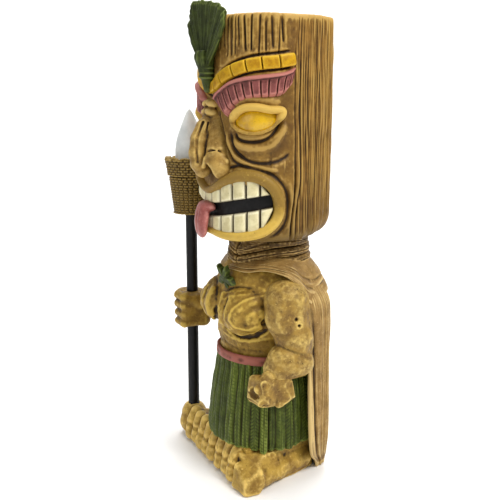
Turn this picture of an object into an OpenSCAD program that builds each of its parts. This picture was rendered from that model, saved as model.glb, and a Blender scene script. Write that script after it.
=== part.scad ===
// Tiki figure with a solar-lit torch, a painted cast-resin garden ornament.
// Millimetres. The figure faces -Y, its left hand is +X, and it stands on z = 0.

/* [Head] */
// Width of the log-shaped head
head_w = 82; // [78:1:86]
// Depth of the head, front to back
head_d = 77; // [74:1:80]
// Corner radius of the head's plan
head_corner = 30; // [26:1:32]
// Height of the head's underside above the ground
head_z = 159; // [158:1:160]
// Height of the head
head_h = 133; // [131:1:135]

/* [Body] */
// Wall of the hollow castings
wall = 6; // [5:0.5:7]
// Height of the waistband's lower edge
waist_z = 77; // [76:1:78]
// Height of the grass skirt's hem
hem_z = 23; // [22:1:24]
// Radius of the neck peg that the head sits on
neck_r = 15; // [13:0.5:16]

/* [Torch] */
// Distance of the pole from the middle of the figure
pole_x = 60; // [59:1:61]
// Distance of the pole in front of the head's middle
pole_y = 30; // [29:1:31]
// Outer diameter of the pole
pole_d = 8; // [7:0.5:8.5]
// Height of the basket's underside
basket_z = 165; // [163:1:167]
// Radius of the basket's rim
basket_r = 16.5; // [15:0.5:17.5]
// Height of the basket
basket_h = 39; // [37:1:40]

/* [Power] */
// Side of the square solar cell
cell_side = 38; // [34:1:40]
// Diameter of the rechargeable cell
battery_d = 10; // [9:0.5:10.5]
// Length of the rechargeable cell
battery_l = 29; // [27:0.5:29.5]

/* [Hidden] */
$fn = 48;

// Gap left round a piece that drops into a socket, and round a moving piece
fit_gap = 0.15;
move_gap = 0.4;
// Overlap that a cutting shape runs past a face
cut = 1;

head_top = head_z + head_h;
front_y = -head_d / 2;

// ---------- shared shapes ----------
// Rectangle with round corners, centred
module rounded(w, d, r) {
    square([w - 2 * r, d], center = true);
    square([w, d - 2 * r], center = true);
    for (sx = [-1, 1]) for (sy = [-1, 1])
        translate([sx * (w / 2 - r), sy * (d / 2 - r)]) circle(r);
}

// Oval made of two half rounds, r high and r + reach wide
module oval(r, reach) {
    square([2 * reach, 2 * r], center = true);
    for (s = [-1, 1]) translate([s * reach, 0]) circle(r);
}

// Jointed limb: a ball at each point, and a taper a little slimmer than the balls between them
limb_slim = 0.5;
module limb(points, radii) {
    for (i = [0 : len(points) - 1]) translate(points[i]) sphere(radii[i]);
    for (i = [0 : len(points) - 2]) {
        d = points[i + 1] - points[i];
        translate(points[i]) rotate([0, acos(d[2] / norm(d)), atan2(d[1], d[0])])
            cylinder(r1 = radii[i] - limb_slim, r2 = radii[i + 1] - limb_slim, h = norm(d));
    }
}

// Mirrored pair about the figure's middle
module pair() {
    children();
    mirror([1, 0, 0]) children();
}
module both_sides() {
    children();
    mirror([1, 0]) children();
}

// ---------- head ----------
// The log, grown by t all round its plan
module log_plan(t) { rounded(head_w + 2 * t, head_d + 2 * t, head_corner + t); }
module log_block(t) { translate([0, 0, head_z]) linear_extrude(head_h) log_plan(t); }

// A layer that wraps the front of the log, t1 to t2 proud, cut to a front outline
module face_wrap(t1, t2) {
    intersection() {
        difference() {
            translate([0, 0, head_z - 10]) linear_extrude(head_h + 20) log_plan(t2);
            translate([0, 0, head_z - 11]) linear_extrude(head_h + 22) log_plan(t1);
        }
        rotate([90, 0, 0]) linear_extrude(head_d / 2 + 20) children();
    }
}

// Sizes of the face, by height above the ground
mouth_z = 180;
mouth_reach = 19.5;
mouth_rz = 17.5;
lip_w = 3.5;
lip_proud = 4;
mouth_deep = 8;
slot_h = 7;
tooth_pitch = 8.4;
eye_r = 10;
eye_at = [30, -24, 231];
eye_turn = 50;
socket_deep = 4;
lid_w = 4;
nose_r = 7;
panel_side = cell_side + 10;
panel_deep = 5;
wire_hole_r = 4;

module mouth_outline(grow = 0) {
    translate([0, mouth_z]) oval(mouth_rz + grow, mouth_reach);
}

// Round drum on each eye's axis, from depth d1 to d2 along it
module eye_drums(r, d1, d2) {
    for (s = [-1, 1]) translate([s * eye_at[0], eye_at[1], eye_at[2]])
        rotate([90, 0, s * eye_turn]) translate([0, 0, d1]) cylinder(r = r, h = d2 - d1);
}

module head_log() color("peru") difference() {
    log_block(0);
    // hollow
    translate([0, 0, head_z + wall + 8])
        linear_extrude(head_h - 2 * wall - 16) rounded(head_w - 6 * wall, head_d - 6 * wall, 12);
    // neck socket, and the wire's way up to the panel
    translate([0, 0, head_z - cut]) cylinder(r = neck_r + fit_gap, h = wall + 4 + cut);
    translate([0, 0, head_z]) cylinder(r = wire_hole_r, h = head_h);
    // seat of the solar panel
    translate([0, 0, head_top - panel_deep]) linear_extrude(panel_deep + cut)
        square(panel_side + 2 * fit_gap, center = true);
    eye_drums(eye_r, -socket_deep, 20);
    face_wrap(-mouth_deep, 1) mouth_outline();
}

module mouth_lining() color("black") face_wrap(-mouth_deep, -mouth_deep + 2) mouth_outline();

// A row of teeth between two heights, cut to the mouth and slit between teeth
module teeth_row(z1, z2) difference() {
    face_wrap(-mouth_deep + 2, -2) intersection() {
        mouth_outline();
        translate([-50, z1]) square([100, z2 - z1]);
    }
    for (i = [-4 : 4]) translate([i * tooth_pitch - 0.3, -50, z1 - cut]) cube([0.6, 100, 50]);
}
module upper_teeth() color("ivory") teeth_row(mouth_z + slot_h / 2, mouth_z + 30);
module lower_teeth() color("ivory") teeth_row(mouth_z - 30, mouth_z - slot_h / 2);

module lip_ring() color("goldenrod") difference() {
    face_wrap(0, lip_proud) difference() {
        mouth_outline(lip_w);
        mouth_outline(-1);
    }
    nose_form();
}

// Tongue: hangs over the lower lip
module tongue() color("indianred") difference() {
    limb([[0, front_y - 1, mouth_z - 1.5], [0, front_y - lip_proud - 3, mouth_z - 14]], [3.4, 4.5]);
    lip_ring();
    translate([-20, front_y + 2, mouth_z - 30]) cube([40, 10, 60]);
    log_front();
}
module log_front() difference() {
    log_block(0);
    face_wrap(-mouth_deep, 1) mouth_outline();
}

module nose_form() hull() {
    translate([0, front_y - 1, 230]) sphere(nose_r, $fn = 24);
    translate([0, front_y - 7, 206]) sphere(nose_r + 0.5, $fn = 24);
    for (s = [-1, 1]) translate([s * 12, front_y + 1, 204]) sphere(nose_r, $fn = 24);
}
module nose() color("peru") difference() {
    nose_form();
    log_block(0);
}

module brow_outline() {
    polygon([[2, 243], [5, 235], [12, 240], [24, 244], [40, 247], [40, 256], [26, 255], [12, 251.5]]);
}
module brows() color("palevioletred") difference() {
    face_wrap(0, 4.5) both_sides() brow_outline();
    eye_drums(eye_r + lid_w, -8, 20);
    nose_form();
}

module band_outline() {
    polygon([[0, 245.5], [3, 248.5], [12, 253.5], [26, 257], [40.5, 258], [40.5, 267], [26, 266],
        [12, 262], [0, 254]]);
}
module headband() color("gold") difference() {
    face_wrap(0, 4) both_sides() band_outline();
    leaf_peg();
}

module eyelids() color("peru") difference() {
    eye_drums(eye_r + lid_w, 0, 9);
    eye_drums(eye_r, -8, 20);
    log_block(0);
}
module eyes() color("gold") intersection() {
    pair() translate(eye_at) sphere(eye_r);
    eye_drums(eye_r - fit_gap, -socket_deep, 20);
}

leaf_at = [0, front_y - 3.5, 252];
leaf_tilt = 8;
leaf_h = 46;
leaf_w = 12;
module leaf_peg() {
    translate(leaf_at) rotate([leaf_tilt, 0, 0]) translate([0, 0, -3]) cylinder(r = 2.5, h = 12);
}
module leaf_blade(h, w) rotate([90, 0, 0]) linear_extrude(2.2, center = true)
    polygon([[-2, 0], [2, 0], [w / 2, h * 0.7], [w * 0.3, h * 0.93], [0, h], [-w * 0.3, h * 0.93],
        [-w / 2, h * 0.7]]);
module head_leaf() color("darkolivegreen") {
    leaf_peg();
    translate(leaf_at) rotate([leaf_tilt, 0, 0]) {
        translate([0, 0, 5]) cylinder(r1 = 3.5, r2 = 5, h = 5);
        for (a = [-24 : 12 : 24]) translate([0, 0, 6]) rotate([0, a, 0]) rotate([0, 0, -a])
            leaf_blade(leaf_h - abs(a) * 0.35, leaf_w);
    }
}

// ---------- body ----------
chest_z = 116;
neck_z = 139;
torso_y = -2;
// The torso's round trunk, shrunk by t
module trunk(t) translate([0, torso_y, 0]) rotate_extrude()
    polygon([[0, base_h + t], [26 - t, base_h + t], [28 - t, waist_z], [31 - t, chest_z - 12],
        [31 - t, chest_z + 4], [28 - t, chest_z + 14], [20 - t, neck_z - t], [0, neck_z - t]]);
// The trunk with its chest muscles
module torso_form() {
    trunk(0);
    pair() translate([15, -20.5, 113]) sphere(17);
}

module torso() color("peru") difference() {
    union() {
        torso_form();
        translate([0, 0, neck_z - 4]) cylinder(r = neck_r + 4, h = head_z - neck_z + 4 - 0.05);
        translate([0, 0, neck_z - 4]) cylinder(r = neck_r, h = head_z - neck_z + 4 + wall);
    }
    trunk(wall);
    cylinder(r = 5, h = 200);
}

shoulder = [37, -3, 121];

left_elbow = [41, 0, 88];
left_wrist = [43, -14, 82];
module left_arm() color("goldenrod") difference() {
    limb([shoulder, left_elbow, left_wrist], [14.5, 12.5, 10]);
    torso_form();
    skirt_form(0);
    waist_disc();
}

// The closed hand: four knuckles in a row, and a thumb across the front
fist_z = 58;
module left_fist() color("goldenrod") difference() {
    union() {
        translate([0, 0, fist_z]) linear_extrude(18) {
            for (i = [0 : 3]) translate([46, -25 + i * 5.6]) circle(4.2);
            translate([36, -29]) square([10, 24.8]);
        }
        translate([37, -29, fist_z + 13]) rotate([0, 90, 0]) cylinder(r = 4, h = 12);
    }
    skirt_form(0);
    limb([left_elbow, left_wrist], [12.5, 10]);
}

right_elbow = [-55, 6, 92];
pole_at = [-pole_x, -pole_y, 0];
grip_z = 96;
grip_r = 12;
grip_h = 26;
right_wrist = [-pole_x + 1, -pole_y + 14, grip_z];
module right_arm() color("peru") difference() {
    limb([[-shoulder[0], shoulder[1], shoulder[2]], right_elbow, right_wrist], [14.5, 11, 8.5]);
    torso_form();
    grip_form();
}

// The closed hand: a rounded drum round the pole
module grip_form() translate([pole_at[0] + 1, pole_at[1] + 1, grip_z - grip_h / 2]) rotate_extrude()
    polygon([[0, 0], [grip_r - 3, 0], [grip_r, 3], [grip_r, grip_h - 3], [grip_r - 3, grip_h], [0, grip_h]]);
module right_fist() color("goldenrod") difference() {
    grip_form();
    translate([pole_at[0], pole_at[1], 0]) cylinder(r = pole_d / 2 + fit_gap, h = 200);
}

// ---------- dress ----------
// Everything in front of the cape's two front edges, t mm further forward
edge_lean = 6.2;
edge_y = 22;
module front_zone(t) rotate([-edge_lean, 0, 0]) translate([-100, -200 + edge_y - t, -50]) cube([200, 200, 300]);

skirt_at = [1, -1.5];
skirt_wall = 4;
module skirt_form(t) translate([skirt_at[0], skirt_at[1], 0]) rotate_extrude()
    polygon([[0, hem_z], [41 - t, hem_z], [40.5 - t, hem_z + 20], [37 - t, waist_z - 18],
        [31.5 - t, waist_z], [0, waist_z]]);
module grass_skirt() color("darkolivegreen") intersection() {
    difference() {
        skirt_form(0);
        skirt_form(skirt_wall);
        trunk(0);
        translate([0, 0, -0.05]) base_form();
        waist_disc();
    }
    front_zone(0);
}
module waist_disc() translate([skirt_at[0], torso_y, waist_z]) cylinder(r = 33, h = 6);
module waistband() color("indianred") intersection() {
    difference() {
        waist_disc();
        trunk(0);
    }
    front_zone(0);
}

// Cape: a shell round the back, from the scarf to the ground
cape_y = 4;
cape_wall = 3.5;
module cape_form(t) translate([0, cape_y, 0]) rotate_extrude()
    polygon([[0, t > 0 ? -1 : 0], [31.8 - t, t > 0 ? -1 : 0], [36 - t, 50], [36.5 - t, 105],
        [34 - t, 125], [26 - t, neck_z - t], [0, neck_z - t]]);
module cape() color("peru") difference() {
    cape_form(0);
    cape_form(cape_wall);
    front_zone(0);
    trunk(0);
    base_form();
    translate([0, 0, neck_z - 5]) cylinder(r = 20.1, h = 10);
}

module neck_scarf() color("sienna") difference() {
    translate([0, 0, neck_z]) rotate_extrude() polygon([[neck_r + 4.1, 0.05], [30, 0.05], [32, 4], [30, 9],
        [31, 12], [28, 17], [neck_r + 4.1, head_z - neck_z - 0.1]]);
}

module leaf_brooch() color("darkolivegreen") difference() {
    translate([1, -33, 128]) rotate([62, 0, 0]) linear_extrude(5)
        polygon([[0, 11], [-3, 8], [-8, 8], [-5, 4], [-9, -1], [-4, -2], [0, -12], [4, -2], [9, -1],
            [5, 4], [8, 8], [3, 8]]);
    torso_form();
    neck_scarf();
}

// ---------- base and feet ----------
base_h = 24;
module base_plan() polygon([[-34, -30], [30, -30], [29, 8], [25, 15], [21, 20], [-22, 20], [-27, 15],
    [-33, 8]]);
module base_form() linear_extrude(base_h) base_plan();

cover_t = 2;
cover_size = [50, 38];
cover_at = [-2, -6];
pocket_h = 18;
screw_at = [for (x = [-21.5, 21.5]) for (y = [-15.5, 15.5]) [x, y]];
module base_casting() color("peru") difference() {
    base_form();
    // pocket for the power unit, with posts for its screws and a rebate for its cover
    translate([cover_at[0], cover_at[1], -cut]) linear_extrude(pocket_h + cut) difference() {
        square([cover_size[0] - 4, cover_size[1] - 4], center = true);
        for (p = screw_at) translate([p[0], p[1]]) circle(3.1);
    }
    translate([cover_at[0], cover_at[1], -cut]) linear_extrude(cover_t + fit_gap + cut)
        square([cover_size[0] + 2 * fit_gap, cover_size[1] + 2 * fit_gap], center = true);
    for (p = screw_at) translate([cover_at[0] + p[0], cover_at[1] + p[1], 0]) cylinder(r = 1.2, h = 13);
    // ways out for the wires
    cylinder(r = 5, h = 40);
    wire_duct();
}

// Duct from the pocket to the foot of the pole
duct_z = 10;
duct_from = [-20, -14];
module wire_duct() translate([duct_from[0], duct_from[1], duct_z])
    rotate([0, 90, atan2(-pole_y - duct_from[1], -pole_x - duct_from[0])]) cylinder(r = 2.2, h = 43.5);

module instep() rotate([90, 0, 90]) translate([0, 0, -80]) linear_extrude(160)
    polygon([[-50, 0], [-50, 10], [-38, 12], [-28, 20], [40, 20], [40, 0]]);
toe_n = 5;
module toes(x1, x2) {
    step = (x2 - x1) / toe_n;
    for (i = [0 : toe_n - 1])
        limb([[x1 + step * (i + 0.5), -41, 5.2], [x1 + step * (i + 0.5), -33, 13]], [4.8, 4.6]);
}
module foot(plan, x1, x2) difference() {
    union() {
        intersection() {
            linear_extrude(base_h) polygon(plan);
            instep();
        }
        toes(x1, x2);
    }
    base_form();
}
foot_gap = 0.4;
feet_x = -4;
left_plan = [[feet_x + foot_gap, -40], [46, -38], [51, -34], [50, -29], [38, -7], [31.5, 8.5], [27.5, 17.5],
    [-3, 17.5], [-3, -20], [feet_x + foot_gap, -20]];
right_plan = [[feet_x - foot_gap, -40], [-52, -38], [-60, -34], [-58, -26], [-45, -7], [-36, 8.5],
    [-30, 17.5], [-5, 17.5], [-5, -20], [feet_x - foot_gap, -20]];
module left_foot() color("goldenrod") foot(left_plan, feet_x + foot_gap, 48);
boss_r = 11;
module right_foot() color("goldenrod") difference() {
    union() {
        foot(right_plan, -55, feet_x - foot_gap);
        translate([pole_at[0], pole_at[1], 0]) rotate_extrude()
            polygon([[0, 0], [boss_r - 4, 0], [boss_r, 6], [boss_r, 17], [boss_r - 4, 25], [0, 25]]);
    }
    translate([pole_at[0], pole_at[1], 8]) cylinder(r = pole_d / 2 + fit_gap, h = 40);
    wire_duct();
}

// ---------- torch ----------
tube_bore_r = pole_d / 2 - 1.2;
module torch_pole() color("dimgray") difference() {
    translate([pole_at[0], pole_at[1], 8.1]) cylinder(r = pole_d / 2, h = basket_z + 8 - 8.1);
    translate([pole_at[0], pole_at[1], 7]) cylinder(r = tube_bore_r, h = 200);
    wire_duct();
}
basket_base_r = basket_r * 0.7;
basket_floor = 8;
collar_z = basket_h * 0.67;
module torch_basket() color("sienna") translate([pole_at[0], pole_at[1], basket_z]) rotate_extrude()
    polygon([[pole_d / 2 + fit_gap, 0], [basket_base_r - 2, 0], [basket_base_r, 2],
        [basket_r - 2.4, collar_z], [basket_r - 0.8, collar_z], [basket_r, basket_h],
        [basket_r - 2.6, basket_h], [basket_r - 3.6, basket_h * 0.7], [basket_base_r - 1.6, basket_floor],
        [pole_d / 2 + fit_gap, basket_floor]]);
module led_plug() color("white") translate([pole_at[0], pole_at[1], basket_z + basket_floor]) difference() {
    union() {
        translate([0, 0, 0.05]) cylinder(r = 6, h = 6);
        translate([0, 0, 6.05]) cylinder(r = 9.4, h = 2.5);
    }
    translate([0, 0, -cut]) cylinder(r = 2.95, h = 30);
}
lens_z = basket_z + basket_floor + 8.6;
module led() color("lightyellow") translate([pole_at[0], pole_at[1], lens_z]) {
    cylinder(r = 2.9, h = 1);
    cylinder(r = 2.5, h = 5.6);
    translate([0, 0, 5.6]) sphere(2.5);
    for (s = [-1, 1]) translate([s * 1.27 - 0.25, -0.25, -4]) cube([0.5, 0.5, 4.5]);
}
lens_r = 10.2;
module flame_lens() color("white") translate([pole_at[0], pole_at[1], lens_z]) rotate_extrude()
    polygon([[7, 0], [8.6, 0], [lens_r - 0.5, 12], [lens_r, 22], [lens_r - 1.6, 32], [6.4, 42],
        [4, 50], [1.6, 54.5], [0, 55.2], [0, 53.4], [2.2, 50], [4.8, 41], [7, 32], [lens_r - 1.8, 22],
        [lens_r - 2.1, 12]]);

// ---------- solar panel in the top of the head ----------
gasket_t = 0.6;
module solar_frame() color("dimgray") translate([0, 0, head_top - panel_deep + gasket_t + 0.02])
    difference() {
        linear_extrude(panel_deep) square(panel_side, center = true);
        translate([0, 0, 2]) linear_extrude(10) square(cell_side + 0.4, center = true);
        translate([0, 0, -cut]) cylinder(r = wire_hole_r, h = 10);
    }
module solar_cell() color("midnightblue") translate([0, 0, head_top - panel_deep + gasket_t + 2.05])
    linear_extrude(2.4) square(cell_side, center = true);
module solar_gasket() color("black") translate([0, 0, head_top - panel_deep]) linear_extrude(gasket_t)
    difference() {
        square(panel_side, center = true);
        square(panel_side - 8, center = true);
    }

// ---------- power unit in the base ----------
door_size = [battery_l + 4, 14];
door_at = [-2, -14];
door_t = 1.8;
hinge_r = 1.2;
hinge_z = hinge_r + 0.1;
hinge_y = door_at[1] + door_size[1] / 2 - hinge_r - move_gap;
pivot_r = 0.7;
well_in = 13.6;
well_top = 15;
switch_at = [8.3, 4];
module bottom_cover() color("dimgray") difference() {
    union() {
        translate([cover_at[0], cover_at[1], 0]) linear_extrude(cover_t) square(cover_size, center = true);
        // battery well
        translate([door_at[0], door_at[1], 0]) linear_extrude(well_top)
            square([door_size[0] + 3, door_size[1] + 3], center = true);
        // seat of the switch
        translate([switch_at[0], switch_at[1], 0]) linear_extrude(cover_t + 2.5) square([15, 9], center = true);
    }
    translate([door_at[0], door_at[1], -cut]) linear_extrude(well_in + cut) square(door_size, center = true);
    for (p = screw_at) translate([cover_at[0] + p[0], cover_at[1] + p[1], -cut]) {
        cylinder(r = 1.5, h = 5);
        cylinder(r1 = 2.9 + cut, r2 = 1.5, h = 1.4 + cut);
    }
    // slot and seat of the switch
    translate([switch_at[0], switch_at[1], -cut]) linear_extrude(8) square([7.4, 2.8], center = true);
    translate([switch_at[0], switch_at[1], cover_t]) linear_extrude(8) square([12.2, 6.2], center = true);
    // hinge bores
    for (s = [-1, 1]) translate([door_at[0] + s * door_size[0] / 2, hinge_y, hinge_z])
        rotate([0, 90, 0]) cylinder(r = pivot_r + 0.06, h = 2.4, center = true);
}
module battery_door() color("dimgray") {
    front = door_at[1] - door_size[1] / 2 + move_gap;
    half = door_size[0] / 2 - move_gap;
    translate([door_at[0] - half, front, hinge_z - door_t / 2]) cube([2 * half, hinge_y - front, door_t]);
    translate([door_at[0], hinge_y, hinge_z]) rotate([0, 90, 0]) {
        cylinder(r = hinge_r, h = 2 * half, center = true);
        cylinder(r = pivot_r, h = 2 * half + 2.6, center = true);
    }
    // rib to grip it by
    translate([door_at[0] - 6, front + 1.5, 0.1]) cube([12, 1.2, 1]);
}
battery_at = [door_at[0] + 0.6, door_at[1], 8];
module battery_cell() color("seagreen") translate(battery_at) rotate([0, 90, 0]) {
    cylinder(r = battery_d / 2, h = battery_l - 1, center = true);
    translate([0, 0, battery_l / 2 - 0.6]) cylinder(r = 1.9, h = 1);
}
well_x1 = door_at[0] - door_size[0] / 2;
well_x2 = door_at[0] + door_size[0] / 2;
module contact_tab(x) translate([x, battery_at[1] - 3.6, battery_at[2] - 4]) cube([0.3, 7.2, 8.4]);
spring_turns = 3;
module contact_spring() color("silver") {
    room = battery_at[0] - battery_l / 2 + 0.5 - well_x1 - 0.3;
    pitch = room / spring_turns;
    contact_tab(well_x1 + 0.05);
    for (i = [0 : spring_turns - 1])
        translate([well_x1 + 0.3 + pitch * (i + 0.5), battery_at[1], battery_at[2]])
            rotate([0, 90, 0]) rotate_extrude() translate([3.6 - i * 0.8, 0]) circle(0.32);
}
module contact_plate() color("silver") contact_tab(well_x2 - 0.35);
module cover_screws() color("silver")
    for (p = screw_at) translate([cover_at[0] + p[0], cover_at[1] + p[1], 0.1]) difference() {
        union() {
            cylinder(r1 = 2.6, r2 = 1.15, h = 1.3);
            translate([0, 0, 1]) cylinder(r = 1.15, h = 9);
        }
        cube([3, 0.6, 1.2], center = true);
        cube([0.6, 3, 1.2], center = true);
    }
board_z = 5.6;
board_at = [-9, 4];
module circuit_board() color("darkgreen") translate([board_at[0], board_at[1], 0]) {
    translate([0, 0, board_z]) linear_extrude(1.2) square([22, 11], center = true);
    translate([-6, 0, board_z + 1]) linear_extrude(1.8) square([4, 5], center = true);
    translate([0.5, -2.8, board_z + 1]) cylinder(r = 1.8, h = 4.5);
    translate([7, -2, board_z + 1]) cylinder(r = 1.3, h = 3);
    for (s = [-1, 1]) translate([s * 8, 0, cover_t + 0.02]) cylinder(r = 1.4, h = board_z - cover_t);
}
module switch_body() color("silver") translate([switch_at[0], switch_at[1], cover_t + 0.02]) difference() {
    linear_extrude(4) square([12, 6], center = true);
    translate([0, 0, -cut]) linear_extrude(3.5) square([7.4, 2.8], center = true);
}
switch_travel = 3;
knob_size = [3, 2];
module switch_knob() color("black") translate([switch_at[0] - switch_travel / 2, switch_at[1], 0.2])
    linear_extrude(3.9) square(knob_size, center = true);

// ---------- wires, each swept along its own points ----------
function heading(a, b) = (b - a) / norm(b - a);
module wire(points, r) {
    sides = 8;
    n = len(points);
    ring = [for (i = [0 : n - 1])
        let (t = heading(points[max(i - 1, 0)], points[min(i + 1, n - 1)]),
            ref = abs(t[1]) > 0.9 ? [1, 0, 0] : [0, 1, 0],
            u = cross(t, ref) / norm(cross(t, ref)), v = cross(t, u))
        for (k = [0 : sides - 1]) points[i] + r * (cos(360 * k / sides) * u + sin(360 * k / sides) * v)];
    faces = concat([[for (k = [0 : sides - 1]) k]],
        [for (i = [0 : n - 2]) for (k = [0 : sides - 1])
            let (a = i * sides + k, b = i * sides + (k + 1) % sides) [a, a + sides, b + sides, b]],
        [[for (k = [sides - 1 : -1 : 0]) (n - 1) * sides + k]]);
    polyhedron(ring, faces);
}
wire_r = 0.9;
solar_route = [[0, 0, head_top - panel_deep + 2.5], [0, 0, 270], [1, 2, 240], [-2, 3, 210], [0, 1, 180],
    [0, 0, 160], [0, 1, 130], [-3, 4, 100], [-2, 5, 70], [0, 2, 45], [0, 0, 28], [-1, 1, 20],
    [-4, 4, 13], [-6, 6.5, 10], [-6, 7, 8.6], [-6, 7, 6.9]];
module solar_wires() color("firebrick") wire(solar_route, wire_r);
led_route = [[-12, 6.5, 6.9], [-12, 6.5, 9], [-13, 5, 11.5], [-17.5, 0, 13.5], [-21.8, -6, 13],
    [-22.5, -11.5, 11], [-23.5, -15.4, duct_z],
    [-32, -18.8, duct_z], [-44, -23.6, duct_z], [-54, -27.6, duct_z], [-58.5, -29.4, 11.5], [-60, -30, 16],
    [-60, -30, 40], [-60, -30, 80], [-60, -30, 120], [-60, -30, 160], [-60, -30, lens_z - 4.2]];
module led_wires() color("firebrick") wire(led_route, wire_r);

base_casting();
left_foot();
right_foot();
torso();
left_arm();
left_fist();
right_arm();
right_fist();
grass_skirt();
waistband();
cape();
neck_scarf();
leaf_brooch();
head_log();
headband();
head_leaf();
brows();
eyelids();
eyes();
nose();
lip_ring();
upper_teeth();
lower_teeth();
mouth_lining();
tongue();
torch_pole();
torch_basket();
led_plug();
led();
flame_lens();
solar_frame();
solar_cell();
solar_gasket();
bottom_cover();
cover_screws();
battery_door();
battery_cell();
contact_spring();
contact_plate();
circuit_board();
switch_body();
switch_knob();
solar_wires();
led_wires();
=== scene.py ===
"""Tiki figure with a solar-lit torch: the painted cast-resin look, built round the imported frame.

Shapes are worked out in millimetres in the figure's own frame (it faces -Y, its left hand is +X,
the ground is z = 0) and turned into metres as each mesh is made.
"""
import copy
import math

import bpy
import numpy as np
import openvdb
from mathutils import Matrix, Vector


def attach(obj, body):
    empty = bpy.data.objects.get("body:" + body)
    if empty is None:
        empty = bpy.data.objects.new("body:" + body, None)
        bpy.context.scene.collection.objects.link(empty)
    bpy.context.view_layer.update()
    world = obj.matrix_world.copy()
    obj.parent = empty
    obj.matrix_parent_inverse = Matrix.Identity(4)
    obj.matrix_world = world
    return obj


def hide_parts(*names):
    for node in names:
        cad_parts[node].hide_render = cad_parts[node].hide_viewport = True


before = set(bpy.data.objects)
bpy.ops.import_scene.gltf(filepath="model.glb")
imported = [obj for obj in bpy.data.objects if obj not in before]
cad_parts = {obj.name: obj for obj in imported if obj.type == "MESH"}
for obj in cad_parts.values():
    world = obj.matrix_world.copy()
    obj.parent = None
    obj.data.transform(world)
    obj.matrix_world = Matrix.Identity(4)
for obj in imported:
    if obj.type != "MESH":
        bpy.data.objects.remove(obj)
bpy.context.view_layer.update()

MM = 0.001
FIGURE = "figure"

# ------------------------------------------------------------------ sizes shared by several pieces
HEAD_W, HEAD_D, HEAD_R = 82.0, 77.0, 30.0  # plan of the log: width, depth, corner radius
HEAD_Z0, HEAD_Z1 = 159.0, 292.0
POLE = (-60.0, -30.0)
BASKET_Z0, BASKET_Z1 = 165.0, 204.0
QUARTER = (HEAD_W / 2 - HEAD_R) + HEAD_R * math.pi / 2 + (HEAD_D / 2 - HEAD_R)


# ------------------------------------------------------------------ numbers
def smooth(a, b, x):
    """0 below a, 1 above b, an S curve between."""
    t = np.clip((np.asarray(x, dtype=float) - a) / (b - a), 0, 1)
    return t * t * (3 - 2 * t)


def bump_at(x, centre, width):
    """A soft hill of height 1 at centre."""
    return np.exp(-(((x - centre) / width) ** 2))


def curve(t, points):
    """Smooth value through (t, value) control points."""
    xs = np.array([p[0] for p in points], dtype=float)
    ys = np.array([p[1] for p in points], dtype=float)
    slopes = np.gradient(ys, xs)
    t = np.clip(t, xs[0], xs[-1])
    i = np.clip(np.searchsorted(xs, t, side="right") - 1, 0, len(xs) - 2)
    span = xs[i + 1] - xs[i]
    u = (t - xs[i]) / span
    return (
        ys[i] * (1 + 2 * u) * (1 - u) ** 2
        + ys[i + 1] * u * u * (3 - 2 * u)
        + slopes[i] * span * u * (1 - u) ** 2
        - slopes[i + 1] * span * u * u * (1 - u)
    )


def through(points, n, closed=False):
    """n points evenly spaced on a smooth curve through the given ones."""
    p = np.array(points, dtype=float)
    if closed:
        p = np.vstack([p[-2:], p, p[:3]])
    step = np.r_[0, np.cumsum(np.linalg.norm(np.diff(p, axis=0), axis=1))]
    first, last = (step[2], step[-3]) if closed else (step[0], step[-1])
    dense = np.linspace(first, last, 40 * len(p))
    q = np.stack([curve(dense, list(zip(step, p[:, k]))) for k in range(p.shape[1])], axis=1)
    run = np.r_[0, np.cumsum(np.linalg.norm(np.diff(q, axis=0), axis=1))]
    at = np.linspace(0, run[-1], n, endpoint=not closed)
    return np.stack([np.interp(at, run, q[:, k]) for k in range(q.shape[1])], axis=1)


def to_line(x, y, points):
    """Distance from each (x, y) to a polyline, and how far along it (0 to 1) the nearest spot is."""
    pts = np.array(points, dtype=float)
    best = np.full(np.broadcast(x, y).shape, 1e9)
    along = np.zeros_like(best)
    n = len(pts) - 1
    for i in range(n):
        ax, ay = pts[i]
        dx, dy = pts[i + 1] - pts[i]
        t = np.clip(((x - ax) * dx + (y - ay) * dy) / (dx * dx + dy * dy), 0, 1)
        d = np.hypot(x - ax - t * dx, y - ay - t * dy)
        near = d < best
        best = np.where(near, d, best)
        along = np.where(near, (i + t) / n, along)
    return best, along


def noise2(x, y, size_x, size_y, seed):
    """Smooth random field, about -1 to 1, with cells of the given size."""
    rng = np.random.default_rng(seed)
    table = rng.uniform(-1, 1, (64, 64))
    u, v = x / size_x + 1000.0, y / size_y + 1000.0
    i, j = np.floor(u).astype(int), np.floor(v).astype(int)
    fu, fv = u - i, v - j
    fu, fv = fu * fu * (3 - 2 * fu), fv * fv * (3 - 2 * fv)
    i, j, i1, j1 = i % 64, j % 64, (i + 1) % 64, (j + 1) % 64
    a = table[i, j] * (1 - fu) + table[i1, j] * fu
    b = table[i, j1] * (1 - fu) + table[i1, j1] * fu
    return a * (1 - fv) + b * fv


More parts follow.
